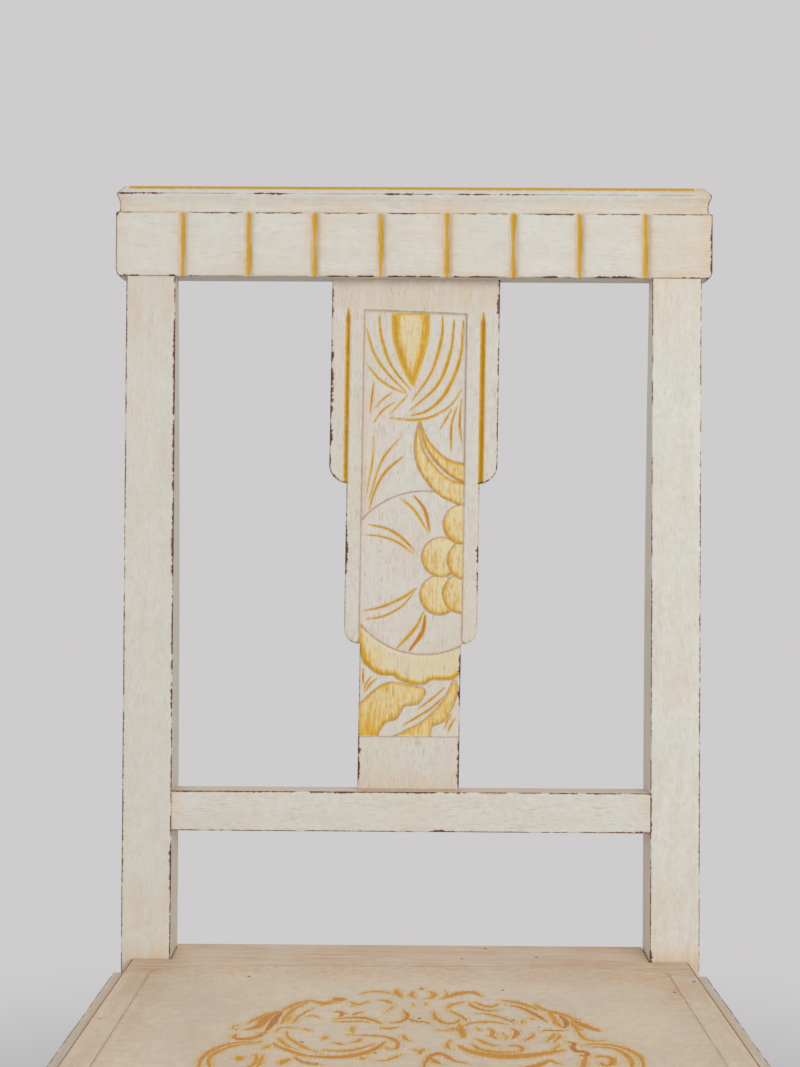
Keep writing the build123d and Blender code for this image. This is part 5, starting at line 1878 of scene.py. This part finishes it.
    def paint(self, at: Array) -> tuple[Array, Array]:
        """Lay the strokes on the panel.

        Args:
            at: Places (n, 2) on the panel.

        Returns:
            Distance inside the nearest stroke's edge, and its tone.
        """
        y = at[:, 1]
        mirrored = self.mirror + (self.mirror - y) / self.squeeze
        folded = np.column_stack([at[:, 0], -np.where(y < self.mirror, mirrored, y)])
        gilt, burnt = np.full(len(at), FAR), np.zeros(len(at))
        for width, shade, *places in (*self.CENTRE, *self.LEFT, *self.RIGHT):
            signed, _ = Stroke(places, self.swell * width).measure(folded)
            burnt = np.where(signed > gilt, shade, burnt)
            gilt = np.maximum(gilt, signed)
        return gilt, burnt


# ---------------------------------------------------------------- the studio
@dataclass
class Studio:
    """A plain pale floor, soft light and the camera."""

    setting: Setting
    floor_tone: Colour = tone(206, 204, 205)
    lens: float = 71.7
    eye: tuple[float, float, float] = (-2.95, -1063.0, 333.8)
    yaw: float = -0.0050
    pitch: float = -0.0425
    roll: float = 0.0056

    def build(self) -> None:
        """Build floor, world, lamps and camera."""
        self.build_floor()
        self.build_world()
        self.build_lamps()
        self.build_camera()

    @staticmethod
    def looked_at(w: Wiring) -> Socket:
        """1 for the rays that show the surface itself, 0 for those that only bring light."""
        rays = w.node("LightPath").outputs
        return w.plus(rays["Is Camera Ray"], rays["Is Glossy Ray"], clamp=True)

    def build_floor(self) -> None:
        """A round floor that fades into the background away from the chair."""
        mesh = bpy.data.meshes.new("studio_floor")
        turns = np.linspace(0, 2 * math.pi, 64, False)
        rim = [(math.cos(a) * 30.0, math.sin(a) * 30.0, -0.0005) for a in turns]
        mesh.from_pydata(rim, [], [tuple(range(len(rim)))])
        floor = bpy.data.objects.new("studio_floor", mesh)
        bpy.context.scene.collection.objects.link(floor)
        material = bpy.data.materials.new("pale_floor")
        w = Wiring.of(material)
        away = w.node("VectorMath", {0: w.node("TexCoord").outputs["Object"]}, operation="LENGTH")
        far = w.ramp(away.outputs["Value"], 0.9, 1.7)
        plain = w.node("BsdfDiffuse", {"Color": self.floor_tone})
        glow = w.node("Emission", {"Color": self.floor_tone})
        w.close(w.node("MixShader", {0: w.times(far, self.looked_at(w)), 1: plain.outputs[0],
                                     2: glow.outputs[0]}))
        mesh.materials.append(material)

    def build_world(self) -> None:
        """An even soft light, with the floor's colour behind everything."""
        world = bpy.data.worlds.new("soft_room")
        bpy.context.scene.world = world
        w = Wiring.of(world)
        soft = w.node("Background", {"Color": (0.96, 0.98, 1.0, 1.0), "Strength": 0.5})
        behind = w.node("Background", {"Color": self.floor_tone, "Strength": 1.0})
        w.close(w.node("MixShader", {0: self.looked_at(w), 1: soft.outputs[0], 2: behind.outputs[0]}),
                "OutputWorld")

    def build_lamps(self) -> None:
        """A large key from the front right, above, a weaker fill, and a rim light from behind."""
        for name, place, size, power in (("key", (1.3, -2.2, 1.7), 1.8, 46.0),
                                         ("fill", (-2.4, -1.6, 1.2), 1.6, 15.0),
                                         ("rim", (-0.6, 2.4, 2.2), 1.6, 12.0)):
            lamp = bpy.data.lights.new(name, "AREA")
            lamp.shape, lamp.size, lamp.energy = "SQUARE", size, power
            lamp.color = (1.0, 0.985, 0.965)
            holder = bpy.data.objects.new(name, lamp)
            bpy.context.scene.collection.objects.link(holder)
            holder.location = place
            aim = Vector((0.0, 0.1, 0.6)) - Vector(place)
            holder.rotation_euler = aim.to_track_quat("-Z", "Y").to_euler()

    def build_camera(self) -> None:
        """The camera, in front of the back and just above the seat."""
        ahead = Vector((math.sin(self.yaw) * math.cos(self.pitch), math.cos(self.yaw) * math.cos(self.pitch),
                        math.sin(self.pitch)))
        level = Vector((math.cos(self.yaw), -math.sin(self.yaw), 0.0))
        above = level.cross(ahead)
        across = level * math.cos(self.roll) + above * math.sin(self.roll)
        upward = above * math.cos(self.roll) - level * math.sin(self.roll)
        data = bpy.data.cameras.new("camera")
        data.sensor_fit, data.sensor_width, data.lens = "HORIZONTAL", 36.0, self.lens
        data.clip_end = 100.0
        camera = bpy.data.objects.new("camera", data)
        bpy.context.scene.collection.objects.link(camera)
        turn = Matrix((across, upward, -ahead)).transposed().to_4x4()
        camera.matrix_world = Matrix.Translation(Vector(self.setting.at(*self.eye) * MM)) @ turn
        bpy.context.scene.camera = camera


def main() -> None:
    """Build the chair and the studio round it."""
    logging.basicConfig(level=logging.INFO, format="%(message)s")
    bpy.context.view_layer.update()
    bpy.context.scene.view_settings.view_transform = "Standard"
    setting = Setting.measure()
    finishes = Finishes()
    base = Base(setting)
    Posts(setting).build(finishes)
    LowRail(setting).build(finishes)
    CrestRail(setting).build(finishes)
    Splat(setting).build(finishes)
    base.build(finishes)
    Seat(setting, base).build(finishes)
    Studio(setting).build()


if __name__ == "__main__":
    main()
